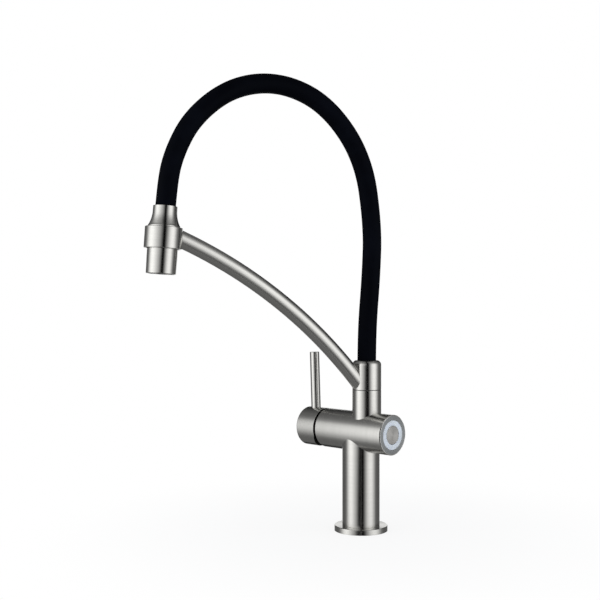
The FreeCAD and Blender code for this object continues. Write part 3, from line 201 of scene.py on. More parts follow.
class NodeSheet:
    """The node tree of a material or a world, filled by short calls that return output sockets."""

    def __init__(self, owner: bpy.types.Material | bpy.types.World) -> None:
        """Start with an empty tree.

        Args:
            owner: The material or world.
        """
        owner.use_nodes = True
        self.owner = owner
        self.tree = owner.node_tree
        self.tree.nodes.clear()

    def add(self, kind: str, inputs: dict[str | int, Any] | None = None, **settings: Any) -> bpy.types.Node:
        """Add one node.

        Args:
            kind: The node's type name.
            inputs: Values or sockets for the node's inputs, by name or number.
            settings: The node's own settings.

        Returns:
            The new node.
        """
        node = self.tree.nodes.new(kind)
        for setting, value in settings.items():
            setattr(node, setting, value)
        for key, value in (inputs or {}).items():
            self.feed(node.inputs[key], value)
        return node

    def feed(self, socket: Socket, value: Any) -> None:
        """Give an input socket a value, or link it to an output socket.

        Args:
            socket: The input.
            value: A number, a colour, a vector or an output socket.
        """
        if isinstance(value, Socket):
            self.tree.links.new(value, socket)
        elif socket.type == "RGBA":
            socket.default_value = (*value, 1.0)
        else:
            socket.default_value = value

    def math(self, operation: str, first: Any, second: Any = 0.0, third: Any = 0.0) -> Socket:
        """One step of arithmetic, with Blender's name for it, on numbers or sockets."""
        return self.add("ShaderNodeMath", {0: first, 1: second, 2: third}, operation=operation).outputs[0]

    def vector(self, operation: str, first: Any, second: Any = (0.0, 0.0, 0.0)) -> Socket:
        """One step of arithmetic on vectors, giving a number for a dot product or a length."""
        node = self.add("ShaderNodeVectorMath", {0: first, 1: second}, operation=operation)
        return node.outputs["Value" if operation in ("DOT_PRODUCT", "LENGTH") else "Vector"]

    def split(self, vector: Socket) -> list[Socket]:
        """The three parts of a vector."""
        return list(self.add("ShaderNodeSeparateXYZ", {0: vector}).outputs)

    def join(self, x: Any, y: Any, z: Any = 0.0) -> Socket:
        """The vector with the three given parts."""
        return self.add("ShaderNodeCombineXYZ", {0: x, 1: y, 2: z}).outputs[0]

    def length(self, x: Socket, y: Socket) -> Socket:
        """The length of the flat vector with the two given parts."""
        return self.math("SQRT", self.math("ADD", self.math("MULTIPLY", x, x), self.math("MULTIPLY", y, y)))

    def noise(self, coordinates: Socket, scale: float, detail: float = 2.0, roughness: float = 0.5) -> Socket:
        """Smooth noise round 0.5, by its features per unit, its octaves and the finer ones' strength."""
        inputs = {"Vector": coordinates, "Scale": scale, "Detail": detail, "Roughness": roughness}
        return self.add("ShaderNodeTexNoise", inputs).outputs[0]

    def spread(self, value: Socket, low: float, high: float, start: float, end: float) -> Socket:
        """A value that goes smoothly from low to high while the given one goes from start to end."""
        inputs = {"Value": value, "From Min": start, "From Max": end, "To Min": low, "To Max": high}
        return self.add("ShaderNodeMapRange", inputs, interpolation_type="SMOOTHSTEP").outputs[0]

    def ramp(self, value: Socket, stops: Pairs) -> Socket:
        """Brightness along a row of stops.

        Args:
            value: The socket that runs along the stops.
            stops: Pairs of the value at a stop and the brightness there, in order.

        Returns:
            The brightness as a colour socket.
        """
        first, last = stops[0][0], stops[-1][0]
        share = self.add("ShaderNodeMapRange", {"Value": value, "From Min": first, "From Max": last})
        node = self.add("ShaderNodeValToRGB", {0: share.outputs[0]})
        elements = node.color_ramp.elements
        for place, _ in stops[1:-1]:
            elements.new((place - first) / (last - first))
        for element, (_, brightness) in zip(elements, stops):
            element.color = (brightness, brightness, brightness, 1.0)
        return node.outputs[0]

    def blend_colours(self, factor: Any, first: Any, second: Any) -> Socket:
        """Two colours mixed, with the factor as the share of the second."""
        return self.add("ShaderNodeMix", {0: factor, 6: first, 7: second}, data_type="RGBA").outputs[2]

    def blend_vectors(self, factor: Any, first: Any, second: Any) -> Socket:
        """Two vectors mixed, with the factor as the share of the second."""
        return self.add("ShaderNodeMix", {0: factor, 4: first, 5: second}, data_type="VECTOR").outputs[1]

    def blend_shaders(self, factor: Any, first: Socket, second: Socket) -> Socket:
        """Two shaders mixed, with the factor as the share of the second."""
        return self.add("ShaderNodeMixShader", {0: factor, 1: first, 2: second}).outputs[0]

    def place(self) -> Socket:
        """The point on the surface, in the part's own frame."""
        return self.add("ShaderNodeTexCoord").outputs["Object"]

    def facing(self) -> Socket:
        """The surface's normal."""
        return self.add("ShaderNodeNewGeometry").outputs["Normal"]

    def rounded(self, radius: float) -> Socket:
        """The surface's normal with the edges rounded to a radius in metres."""
        return self.add("ShaderNodeBevel", {"Radius": radius}, samples=4).outputs[0]

    def edges(self, width: float) -> Socket:
        """How near an edge the surface is, from 0 on flats to 1, for edges of a width in metres."""
        straightness = self.vector("DOT_PRODUCT", self.rounded(width), self.facing())
        return self.spread(straightness, 1.0, 0.0, 0.80, 0.995)

    def relief(self, height: Socket, depth: float, strength: float) -> Socket:
        """The surface's normal with fine relief of a depth in metres, of which the strength shows."""
        inputs = {"Height": height, "Distance": depth, "Strength": strength}
        return self.add("ShaderNodeBump", inputs).outputs[0]

    def seen(self) -> Socket:
        """1 for the rays of the camera, of metal and of glass, and 0 for the others.

        Returns:
            The socket with the number.
        """
        rays = self.add("ShaderNodeLightPath").outputs
        straight = self.math("MAXIMUM", rays["Is Camera Ray"], rays["Is Glossy Ray"])
        return self.math("MAXIMUM", straight, rays["Is Transmission Ray"])

    def finish(self, shader: Socket) -> bpy.types.Material | bpy.types.World:
        """Send a shader to the surface of the material or world.

        Args:
            shader: The shader's socket.

        Returns:
            The finished material or world.
        """
        kind = "World" if isinstance(self.owner, bpy.types.World) else "Material"
        self.add(f"ShaderNodeOutput{kind}", {"Surface": shader})
        return self.owner

    def principled(self, inputs: dict[str, Any]) -> bpy.types.Material:
        """Finish with a principled surface that has the given values and sockets."""
        return self.finish(self.add("ShaderNodeBsdfPrincipled", inputs).outputs[0])


@dataclass(frozen=True)
class Zone:
    """A ring-shaped part of a turned piece with a colour laid over the metal's, for a painted highlight or a
    painted shade.

    Attributes:
        colour: Its colour.
        lathe: The axis that it was turned about.
        inner: Distance from the axis at which it starts, in metres.
        outer: Distance from the axis at which it ends, in metres.
        start: Place along the axis from which it is there, in metres.
    """

    colour: Colour
    lathe: Lathe
    inner: float = 0.0
    outer: float = 1.0
    start: float = -1.0


@dataclass(frozen=True)
class TurnedMetal:
    """Satin metal with the fine rings that a lathe or a belt leaves.

    Attributes:
        name: The material's name.
        colour: Colour of the metal face on.
        lathes: The axes of the grain: one, or the column's, the neck's and the cross body's together.
        roughness: Roughness between the streaks.
        stretch: How much longer highlights are across the grain.
        fine_lines: Finest grain lines per metre.
        broad_lines: Broad streaks per metre.
        broad_depth: Depth of the broad streaks, as a multiple of the fine lines' depth.
        line_height: Depth of the grain, in metres.
        line_strength: How much of that depth shows.
        drift: How far the lines move on from one side of the axis to the other, in metres.
        smudges: Smudges per metre.
        line_roughness: Least and most that the fine lines add to the roughness.
        smudge_roughness: Least and most that the smudges add to it.
        edge_polish: How much less rough the edges are.
        streak_shade: Brightness of the broad streaks, as a share.
        edge_shade: Brightness of the painted edge highlight, as a share.
        edge_share: How much of the painted edge highlight shows.
        rounding: Width of the soft edges, in metres.
        wear_and_highlight_width: Width of the edges that are polished and carry the painted highlight, as a
            multiple of the rounding.
        zone: A part of it with a painted highlight or painted shade laid over its colour.
    """

    name: str
    colour: Colour
    lathes: tuple[Lathe, ...]
    roughness: float = 0.19
    stretch: float = 0.85
    fine_lines: float = 5200.0
    broad_lines: float = 900.0
    broad_depth: float = 1.5
    line_height: float = 0.0000005
    line_strength: float = 0.6
    drift: float = 0.0006
    smudges: float = 38.0
    line_roughness: tuple[float, float] = (-0.02, 0.03)
    smudge_roughness: tuple[float, float] = (-0.012, 0.018)
    edge_polish: float = 0.04
    streak_shade: float = 0.95
    edge_shade: float = 1.10
    edge_share: float = 0.7
    rounding: float = 0.00035
    wear_and_highlight_width: float = 1.6
    zone: Zone | None = None

    def grain(self, sheet: NodeSheet, lathe: Lathe) -> tuple[Socket, Socket]:
        """The coordinates round one axis, and the direction of the grain there.

        Args:
            sheet: The material being made.
            lathe: The axis.

        Returns:
            Coordinates (slow round the axis, distance from it, height along it), and the grain's direction.
        """
        turn = lathe.value.turn
        inputs = {"Vector": sheet.place(), "Location": lathe.value.point, "Rotation": turn}
        own = sheet.add("ShaderNodeMapping", inputs, vector_type="TEXTURE").outputs[0]
        x, y, height = sheet.split(own)
        slow = sheet.math("MULTIPLY", sheet.math("SINE", sheet.math("ARCTAN2", y, x)), self.drift)
        coordinates = sheet.join(slow, sheet.length(x, y), height)
        circling = sheet.join(sheet.math("MULTIPLY", y, -1.0), x)
        turned = sheet.add("ShaderNodeMapping", {"Vector": circling, "Rotation": turn}, vector_type="VECTOR")
        spaces = {"vector_type": "VECTOR", "convert_from": "OBJECT", "convert_to": "WORLD"}
        direction = sheet.add("ShaderNodeVectorTransform", {0: turned.outputs[0]}, **spaces)
        return coordinates, direction.outputs[0]

    def on_cross(self, sheet: NodeSheet) -> Socket:
        """Where the surface is the cross body's own, and not the column's or the neck's.

        Args:
            sheet: The material being made.

        Returns:
            The socket with 1 on the cross body's tube and ends, and 0 elsewhere.
        """
        _, y, z = sheet.split(sheet.place())
        distance = sheet.length(y, sheet.math("SUBTRACT", z, CROSS_HEIGHT))
        on_tube = sheet.math("COMPARE", distance, CROSS_RADIUS, SURFACE_SLACK)
        sideways = sheet.math("ABSOLUTE", sheet.vector("DOT_PRODUCT", sheet.facing(), (1.0, 0.0, 0.0)))
        faces_side = sheet.math("GREATER_THAN", sideways, 0.9)
        on_end = sheet.math("MULTIPLY", faces_side, sheet.math("LESS_THAN", distance, CROSS_RADIUS))
        return sheet.math("MAXIMUM", on_tube, on_end)

    def all_grain(self, sheet: NodeSheet) -> tuple[Socket, Socket]:
        """The grain of every axis of this metal, each on its own stretch of the surface.

        Args:
            sheet: The material being made.

        Returns:
            The coordinates and the direction, as grain() gives them.
        """
        coordinates, direction = self.grain(sheet, self.lathes[0])
        if len(self.lathes) == 1:
            return coordinates, direction
        _, _, height = sheet.split(sheet.place())
        masks = (sheet.math("GREATER_THAN", height, CROSS_HEIGHT), self.on_cross(sheet))
        for lathe, mask in zip(self.lathes[1:], masks):
            others = self.grain(sheet, lathe)
            coordinates = sheet.blend_vectors(mask, coordinates, others[0])
            direction = sheet.blend_vectors(mask, direction, others[1])
        return coordinates, direction

    def with_zone(self, sheet: NodeSheet, colour: Socket) -> Socket:
        """The metal's colour with the zone's colour laid over it.

        Args:
            sheet: The material being made.
            colour: The socket with the metal's colour.

        Returns:
            The colour's socket.
        """
        coordinates, _ = self.grain(sheet, self.zone.lathe)
        _, distance, height = sheet.split(coordinates)
        within = sheet.math("LESS_THAN", distance, self.zone.outer)
        past = sheet.math("GREATER_THAN", distance, self.zone.inner)
        along = sheet.math("GREATER_THAN", height, self.zone.start)
        share = sheet.math("MULTIPLY", sheet.math("MULTIPLY", within, past), along)
        return sheet.blend_colours(share, colour, self.zone.colour)

    def streaked(self, sheet: NodeSheet, broad: Socket, edges: Socket) -> Socket:
        """The metal's colour with its broad streaks and a painted highlight on its edges.

        Args:
            sheet: The material being made.
            broad: The socket with the broad streaks.
            edges: The socket with the nearness of an edge.

        Returns:
            The colour's socket.
        """
        share = sheet.spread(broad, 0.0, 1.0, *NOISE_SPAN)
        colour = sheet.blend_colours(share, tinted(self.colour, self.streak_shade), self.colour)
        # Painted highlight: the edges are made lighter in colour, as if they caught the light.
        highlit_edges = sheet.math("MULTIPLY", edges, self.edge_share)
        return sheet.blend_colours(highlit_edges, colour, tinted(self.colour, self.edge_shade))

    def make(self) -> bpy.types.Material:
        """Build the material.

        Returns:
            The finished material.
        """
        sheet = NodeSheet(bpy.data.materials.new(self.name))
        coordinates, direction = self.all_grain(sheet)
        fine = sheet.noise(coordinates, self.fine_lines, detail=3.0, roughness=0.6)
        broad = sheet.noise(coordinates, self.broad_lines)
        smudges = sheet.noise(sheet.place(), self.smudges, detail=3.0, roughness=0.55)
        edges = sheet.edges(self.rounding * self.wear_and_highlight_width)
        colour = self.streaked(sheet, broad, edges)
        if self.zone:
            colour = self.with_zone(sheet, colour)
        rough = sheet.math("ADD", sheet.spread(fine, *self.line_roughness, *LINE_SPAN), self.roughness)
        rough = sheet.math("ADD", rough, sheet.spread(smudges, *self.smudge_roughness, *NOISE_SPAN))
        rough = sheet.math("SUBTRACT", rough, sheet.math("MULTIPLY", edges, self.edge_polish))
        height = sheet.math("ADD", fine, sheet.math("MULTIPLY", broad, self.broad_depth))
        lines = sheet.relief(height, self.line_height, self.line_strength)
        sheet.feed(lines.node.inputs["Normal"], sheet.rounded(self.rounding))
        across = sheet.vector("NORMALIZE", sheet.vector("CROSS_PRODUCT", sheet.facing(), direction))
        return sheet.principled({
            "Base Color": colour,
            "Metallic": 1.0,
            "Roughness": rough,
            "Anisotropic": self.stretch,
            "Tangent": across,
            "Normal": lines,
        })


@dataclass(frozen=True)
class Rubber:
    """Matte silicone or rubber with a fine skin and a little dust.

    Attributes:
        name: The material's name.
        colour: Colour of the rubber.
        roughness: Mean roughness.
        shine: Specular level.
        skin: Grains of the skin per metre.
        skin_height: Depth of the skin's grain, in metres.
        skin_strength: How much of that depth shows.
        wear: Worn places per metre.
        wear_roughness: Least and most that they add to the roughness.
        dust: Brightness of the dusty places, as a share of the rubber's.
        dust_lift: Brightness added to them.
    """

    name: str
    colour: Colour
    roughness: float = 0.58
    shine: float = 0.22
    skin: float = 2600.0
    skin_height: float = 0.00002
    skin_strength: float = 0.5
    wear: float = 30.0
    wear_roughness: tuple[float, float] = (-0.06, 0.07)
    dust: float = 1.7
    dust_lift: float = 0.0005

    def make(self) -> bpy.types.Material:
        """Build the material.

        Returns:
            The finished material.
        """
        sheet = NodeSheet(bpy.data.materials.new(self.name))
        place = sheet.place()
        skin = sheet.noise(place, self.skin, detail=3.0)
        wear = sheet.noise(place, self.wear, detail=4.0, roughness=0.6)
        dusty = tinted(self.colour, self.dust, self.dust_lift)
        rougher = sheet.spread(wear, *self.wear_roughness, *NOISE_SPAN)
        return sheet.principled({
            "Base Color": sheet.blend_colours(sheet.spread(wear, 0.0, 1.0, *DUST_SPAN), self.colour, dusty),
            "Roughness": sheet.math("ADD", rougher, self.roughness),
            "Specular IOR Level": self.shine,
            "Normal": sheet.relief(skin, self.skin_height, self.skin_strength),
        })


@dataclass(frozen=True)
class Moulded:
    """Moulded plastic, fired ceramic or solder mask, with a light grain.

    Attributes:
        name: The material's name.
        colour: Main colour.
        roughness: Mean roughness.
        grain: Features of the surface per metre.
        grain_height: Depth of the grain, in metres.
        grain_strength: How much of that depth shows.
        grain_roughness: Least and most that the grain adds to the roughness.
        clouds: Cloudy places per metre.
        cloud_shade: Brightness of the cloudy places, as a share.
        edge_shade: Brightness of the painted edge highlight, as a share.
        edge_lift: Brightness added to them.
        edge_share: How much of the painted edge highlight shows.
        edge_width: Width of the edges with the painted highlight, in metres.
        glow: Strength of its own light.
        depth: How far light goes into it, as a share.
        depth_reach: How far red, green and blue light go there, in metres.
    """

    name: str
    colour: Colour
    roughness: float = 0.42
    grain: float = 1400.0
    grain_height: float = 0.00001
    grain_strength: float = 0.5
    grain_roughness: tuple[float, float] = (-0.05, 0.05)
    clouds: float = 90.0
    cloud_shade: float = 0.86
    edge_shade: float = 1.15
    edge_lift: float = 0.01
    edge_share: float = 0.5
    edge_width: float = 0.0004
    glow: float = 0.0
    depth: float = 0.0
    depth_reach: Point = (0.004, 0.004, 0.005)

    def make(self) -> bpy.types.Material:
        """Build the material.

        Returns:
            The finished material.
        """
        sheet = NodeSheet(bpy.data.materials.new(self.name))
        place = sheet.place()
        fine = sheet.noise(place, self.grain)
        cloudy = sheet.spread(sheet.noise(place, self.clouds, detail=3.0), 0.0, 1.0, *NOISE_SPAN)
        colour = sheet.blend_colours(cloudy, tinted(self.colour, self.cloud_shade), self.colour)
        # Painted highlight: the edges are made lighter in colour, as if they caught the light.
        edges = sheet.math("MULTIPLY", sheet.edges(self.edge_width), self.edge_share)
        highlit_edge_colour = tinted(self.colour, self.edge_shade, self.edge_lift)
        rougher = sheet.spread(fine, *self.grain_roughness, *NOISE_SPAN)
        return sheet.principled({
            "Base Color": sheet.blend_colours(edges, colour, highlit_edge_colour),
            "Roughness": sheet.math("ADD", rougher, self.roughness),
            "Subsurface Weight": self.depth,
            "Subsurface Radius": self.depth_reach,
            "Subsurface Scale": 1.0,
            "Emission Color": self.colour,
            "Emission Strength": self.glow,
            "Normal": sheet.relief(fine, self.grain_height, self.grain_strength),
        })


Finish = TurnedMetal | Rubber | Moulded


@dataclass
class Finishes:
    """Every finish of the tap, each made once and given to the CAD nodes that have it.

    Attributes:
        made: The materials made so far, by name.
    """

    made: dict[str, bpy.types.Material] = field(default_factory=dict)

    def nickel(self, name: str, *lathes: Lathe, **sizes: Any) -> TurnedMetal:
        """Brushed nickel turned about the given axes, with any other sizes that it has."""
        return TurnedMetal(f"nickel_{name}", NICKEL, lathes, **sizes)

    def brass(self, name: str, lathe: Lathe) -> TurnedMetal:
        """Turned brass."""
        return TurnedMetal(f"brass_{name}", BRASS, (lathe,), roughness=0.3)

    def stainless(self, name: str, lathe: Lathe) -> TurnedMetal:
        """Bright stainless steel."""
        return TurnedMetal(f"stainless_{name}", STAINLESS, (lathe,), roughness=0.2)

    def button_metal(self, name: str, colour: Colour) -> TurnedMetal:
        """The dull metal of the button's face."""
        return TurnedMetal(name, colour, (Lathe.CROSS,), roughness=0.45, stretch=0.4)

    def metals(self) -> list[tuple[Finish, tuple[str, ...]]]:
        """Each metal finish with the CAD nodes that have it.

        Returns:
            Pairs of a finish and the names of its nodes.
        """
        # Painted shade: the inside of the lever cap's bore is made near black, for the shade in that recess.
        painted_bore_shade = Zone((0.006, 0.006, 0.007), Lathe.CROSS, outer=CROSS_RADIUS - 0.0003, start=CAP_FLOOR_X)
        # Painted highlight: a near-white band on the body's end face, by the bezel, as if its rim caught the
        # light.
        end_face = {"inner": CROSS_RADIUS - 0.0015, "start": BODY_END_X - 0.0004}
        painted_rim_highlight = Zone((0.97, 0.96, 0.94), Lathe.CROSS, **end_face)
        body_lathes = (Lathe.COLUMN, Lathe.NECK, Lathe.CROSS)
        copper = TurnedMetal("copper_drawn", (0.73, 0.43, 0.29), (Lathe.COLUMN,), roughness=0.24)
        return [
            (self.nickel("body", *body_lathes, zone=painted_rim_highlight), ("mixer_body",)),
            (self.nickel("column", Lathe.COLUMN), ("base_flange",)),
            (self.nickel("neck", Lathe.NECK), ("swivel_collar",)),
            (self.nickel("cross", Lathe.CROSS, zone=painted_bore_shade), ("lever_cap",)),
            (self.button_metal("bezel_satin", (0.43, 0.45, 0.46)), ("bezel_ring",)),
            (self.button_metal("button_satin", (0.66, 0.65, 0.63)), ("button_disc",)),
            (self.nickel("lever", Lathe.LEVER, roughness=0.2), ("lever_rod",)),
            (self.nickel("arm", Lathe.ARM), ("support_arm",)),
            (self.nickel("head", Lathe.HEAD), ("dock_ring", "spray_neck", "spray_shell")),
            (self.brass("turned", Lathe.COLUMN), ("inlet_block",)),
            (self.brass("neck", Lathe.NECK), ("swivel_spigot", "hose_root_fitting")),
            (self.brass("cross", Lathe.CROSS), ("water_manifold", "retaining_nut")),
            (self.brass("head", Lathe.HEAD), ("hose_head_fitting",)),
            (copper, ("hot_inlet_tube", "cold_inlet_tube")),
            (self.stainless("cross", Lathe.CROSS), ("pivot_pin", "lever_stem", "button_spring")),
            (self.stainless("lever", Lathe.LEVER), ("cap_screw",)),
            (self.stainless("neck", Lathe.NECK), ("swivel_stop_screw",)),
        ]

    def others(self) -> list[tuple[Finish, tuple[str, ...]]]:
        """Each rubber, plastic and ceramic finish with the CAD nodes that have it.

        Returns:
            Pairs of a finish and the names of its nodes.
        """
        ceramic = Moulded("ceramic", (0.87, 0.86, 0.83), roughness=0.18, grain_height=0.000002)
        diffuser = Moulded("light_diffuser", (0.60, 0.65, 0.72), roughness=0.38, depth=0.35, glow=0.05)
        return [
            (Rubber("black_rubber", (0.018, 0.018, 0.018)), (
                "base_gasket", "port_seals", "swivel_seals", "aerator_seal", "housing_gasket", "signal_cable",
            )),
            (Moulded("black_plastic", (0.012, 0.012, 0.013), roughness=0.45), (
                "dust_ring", "swivel_washer", "switch_housing", "push_switch", "aerator_cage", "spray_core",
                "dock_liner",
            )),
            (Moulded("white_plastic", (0.80, 0.80, 0.78)), (
                "cartridge_housing", "cartridge_base", "cartridge_rotor", "disc_carrier", "check_valve",
                "switch_guide", "button_plunger", "switch_nub",
            )),
            (ceramic, ("fixed_disc", "moving_disc")),
            (Moulded("spray_face", (0.30, 0.31, 0.32), roughness=0.5), ("aerator_disc",)),
            (diffuser, ("light_ring",)),
            (Moulded("circuit_board", (0.03, 0.16, 0.07), roughness=0.3), ("led_board",)),
            (Moulded("led_lens", (0.85, 0.80, 0.55), roughness=0.15), ("ring_leds",)),
        ]

    def dress(self) -> None:
        """Give every CAD node its finish."""
        for finish, nodes in self.metals() + self.others():
            material = finish.make()
            self.made[finish.name] = material
            for name in nodes:
                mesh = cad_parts[name].data
                mesh.materials.clear()
                mesh.materials.append(material)
                LOG.info("%s has the finish %s", name, finish.name)


@dataclass
class Hose:
    """The smooth black hose that stands in an arch from the swivel collar to the spray head.

    Attributes:
        radius: Outer radius.
        seat_height: Height at which it stands in the collar.
        head_seat: Distance of its end above the ring's centre, along the head.
        last_run: Length of the straight run above that end.
        rings: Faces round the hose.
        steps: Spans of the drawn line between two route points.
        bend_height: Height of the line along which it goes over from the spout to the spray head; not used.
        bend_reach: Length of that line, from the swivel's axis out; not used.
        corners: The route between its ends, as (distance out, height above the neck).
    """

    radius: float = 0.0095
    seat_height: float = 0.1652
    head_seat: float = 0.0094
    last_run: float = 0.0350
    rings: int = 40
    steps: int = 24
    bend_height: float = 0.2
    bend_reach: float = 0.2
    corners: Pairs = (
        (0.0, 0.0595), (-0.005, 0.1140), (-0.007, 0.1650), (0.004, 0.2335), (0.0445, 0.2835),
        (0.0955, 0.3020), (0.146, 0.2935), (0.1865, 0.2620), (0.2065, 0.2245),
    )

    def above_ring(self, distance: float) -> Point:
        """A point on the spray head's axis, a distance above the ring's centre."""
        out = SPOUT_REACH - distance * math.sin(HEAD_TILT)
        return along_spout(out, RING_HEIGHT + distance * math.cos(HEAD_TILT))

    def route(self) -> list[Point]:
        """The control points from the collar to the spray head.

        Returns:
            The points, in the part's frame.
        """
        points = [along_spout(0.0, self.seat_height)]
        points += [along_spout(out, NECK_TOP + height) for out, height in self.corners]
        points.append(self.above_ring(self.head_seat + self.last_run))
        points.append(self.above_ring(self.head_seat))
        return points

    def curve(self, name: str, radius: float) -> bpy.types.Object:
        """The route as a smooth curve.

        Args:
            name: Name of the object.
            radius: Radius of the tube round the line, or 0 for the line alone.

        Returns:
            The curve object.
        """
        data = bpy.data.curves.new(name, "CURVE")
        data.dimensions = "3D"
        data.resolution_u = self.steps
        data.bevel_depth = radius
        data.bevel_resolution = self.rings // 4 - 1
        data.use_fill_caps = radius > 0
        spline = data.splines.new("NURBS")
        route = self.route()
        spline.points.add(len(route) - 1)
        for point, place in zip(spline.points, route):
            point.co = (*place, 1.0)
        spline.order_u = 3
        spline.use_endpoint_u = True
        made = put_in_scene(name, data)
        bpy.context.view_layer.update()
        return made

    def mesh_of(self, curve: bpy.types.Object) -> bpy.types.Mesh:
        """The mesh that a curve draws; the curve is removed.

        Args:
            curve: The curve object.

        Returns:
            The mesh.
        """
        drawn = curve.evaluated_get(bpy.context.evaluated_depsgraph_get())
        mesh = bpy.data.meshes.new_from_object(drawn)
        bpy.data.objects.remove(curve)
        return mesh

    def build(self) -> bpy.types.Object:
        """Returns:
            The hose.
        """
        line = [tuple(vertex.co) for vertex in self.mesh_of(self.curve("hose_line", 0.0)).vertices]
        mesh = self.mesh_of(self.curve("hose_tube", self.radius))
        mesh.name = "hose"
        mesh.shade_smooth()
        mesh.materials.clear()
        silicone = Rubber("hose_silicone", (0.0008, 0.0012, 0.0028), roughness=0.62, shine=0.03)
        mesh.materials.append(silicone.make())
        hose = put_in_scene("hose", mesh)
        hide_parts("spout_hose")
        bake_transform(hose)
        return hose


@dataclass
class SprayJets:
    """The small silicone lips round the holes of the spray disc.

    Attributes:
        hole_radius: Radius of each hole.
        lip_width: How far the lip reaches past the hole.
        lip_height: How far it stands below the disc.
        disc_drop: Distance of the disc's face below the ring's centre, along the head.
        circles: Radius of each circle of holes and the number on it.
        sides: Faces round each lip.
    """

    hole_radius: float = 0.00055
    lip_width: float = 0.0005
    lip_height: float = 0.0005
    disc_drop: float = 0.03145
    circles: tuple[tuple[float, int], ...] = ((0.0, 1), (0.0034, 6), (0.0068, 12), (0.0096, 18))
    sides: int = 16

    def section(self) -> Pairs:
        """The outline of a lip, from its foot outside over its rounded end into the hole.

        Returns:
            Pairs of the distance from the hole's middle and the height.
        """
        outer = self.hole_radius + self.lip_width
        return (
            (outer, -self.disc_drop),
            (outer - self.lip_width * 0.2, -self.disc_drop - self.lip_height * 0.7),
            (outer - self.lip_width * 0.5, -self.disc_drop - self.lip_height),
            (self.hole_radius, -self.disc_drop - self.lip_height * 0.8),
            (self.hole_radius, -self.disc_drop + self.lip_height),
        )

    def lip(self, mesh: bmesh.types.BMesh, x: float, y: float) -> None:
        """One lip: a short tube with a rounded end, in the head's own frame.

        Args:
            mesh: The mesh to add it to.
            x: Place of the hole across the disc.
            y: Place of the hole along the disc.
        """
        rings = []
        for radius, height in self.section():
            spokes = (Vector((radius, 0.0, 0.0)), Vector((0.0, radius, 0.0)))
            rings.append(draw_ring(mesh, Vector((x, y, height)), *spokes, self.sides))
        draw_tube(mesh, rings)

    def build(self) -> bpy.types.Object:
        """Make all the lips as one piece on the spray head.

        Returns:
            The piece.
        """
        lips = bmesh.new()
        for radius, count in self.circles:
            for step in range(count):
                angle = 2 * math.pi * step / count
                self.lip(lips, radius * math.cos(angle), radius * math.sin(angle))
        lips.normal_update()
        silicone = Rubber("jet_silicone", (0.16, 0.165, 0.17), roughness=0.5, shine=0.4)
        mesh = finished_mesh("jet_lips", lips, silicone.make())
        mesh.shade_smooth()
        made = put_in_scene("jet_lips", mesh)
        made.location = Lathe.HEAD.value.point
        made.rotation_euler = Euler(Lathe.HEAD.value.turn)
        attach(made, "spray_head")
        return made


@dataclass
class ReturnSpring:
    """The coil spring behind the button, which moves with the button.

    Attributes:
        material: The finish of its wire.
        radius: Radius of the coil's middle line.
        wire: Thickness of the wire.
        first: Place of the coil's start along the cross body.
        last: Place of its end.
        turns: Number of turns.
        seat: Face of the guide that it stands on; not used.
        plate: Face of the button's plate that it pushes; not used.
        travel: How far the button goes in; not used.
        sides: Faces round the wire.
        steps: Spans in one turn.
    """

    material: bpy.types.Material
    radius: float = 0.005
    wire: float = 0.0005
    first: float = 0.03425
    last: float = 0.03795
    turns: int = 4
    seat: float = 0.03375
    plate: float = 0.03845
    travel: float = 0.001
    sides: int = 10
    steps: int = 36

    def section(self, mesh: bmesh.types.BMesh, step: int) -> Ring:
        """The ring of points round the wire at one step of the coil.

        Args:
            mesh: The mesh to add it to.
            step: Number of the step from the coil's start.

        Returns:
            The points of the ring.
        """
        angle = 2 * math.pi * step / self.steps
        rise = (self.last - self.first) / (2 * math.pi * self.turns)
        outward = Vector((0.0, math.cos(angle), math.sin(angle)))
        along = Vector((rise, -self.radius * math.sin(angle), self.radius * math.cos(angle)))
        across = along.normalized().cross(outward)
        middle = Vector((self.first + rise * angle, 0.0, CROSS_HEIGHT)) + outward * self.radius
        return draw_ring(mesh, middle, outward * self.wire / 2, across * self.wire / 2, self.sides)

    def build(self) -> bpy.types.Object:
        """Make the spring, which moves with the button.

        Returns:
            The spring.
        """
        coil = bmesh.new()
        rings = [self.section(coil, step) for step in range(self.turns * self.steps + 1)]
        draw_tube(coil, rings)
        coil.faces.new(list(reversed(rings[0])))
        coil.faces.new(rings[-1])
        bmesh.ops.recalc_face_normals(coil, faces=coil.faces)
        mesh = finished_mesh("return_spring", coil, self.material)
        mesh.shade_smooth()
        made = put_in_scene("return_spring", mesh)
        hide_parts("button_spring")
        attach(made, "push_button")
        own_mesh(made)
        return made


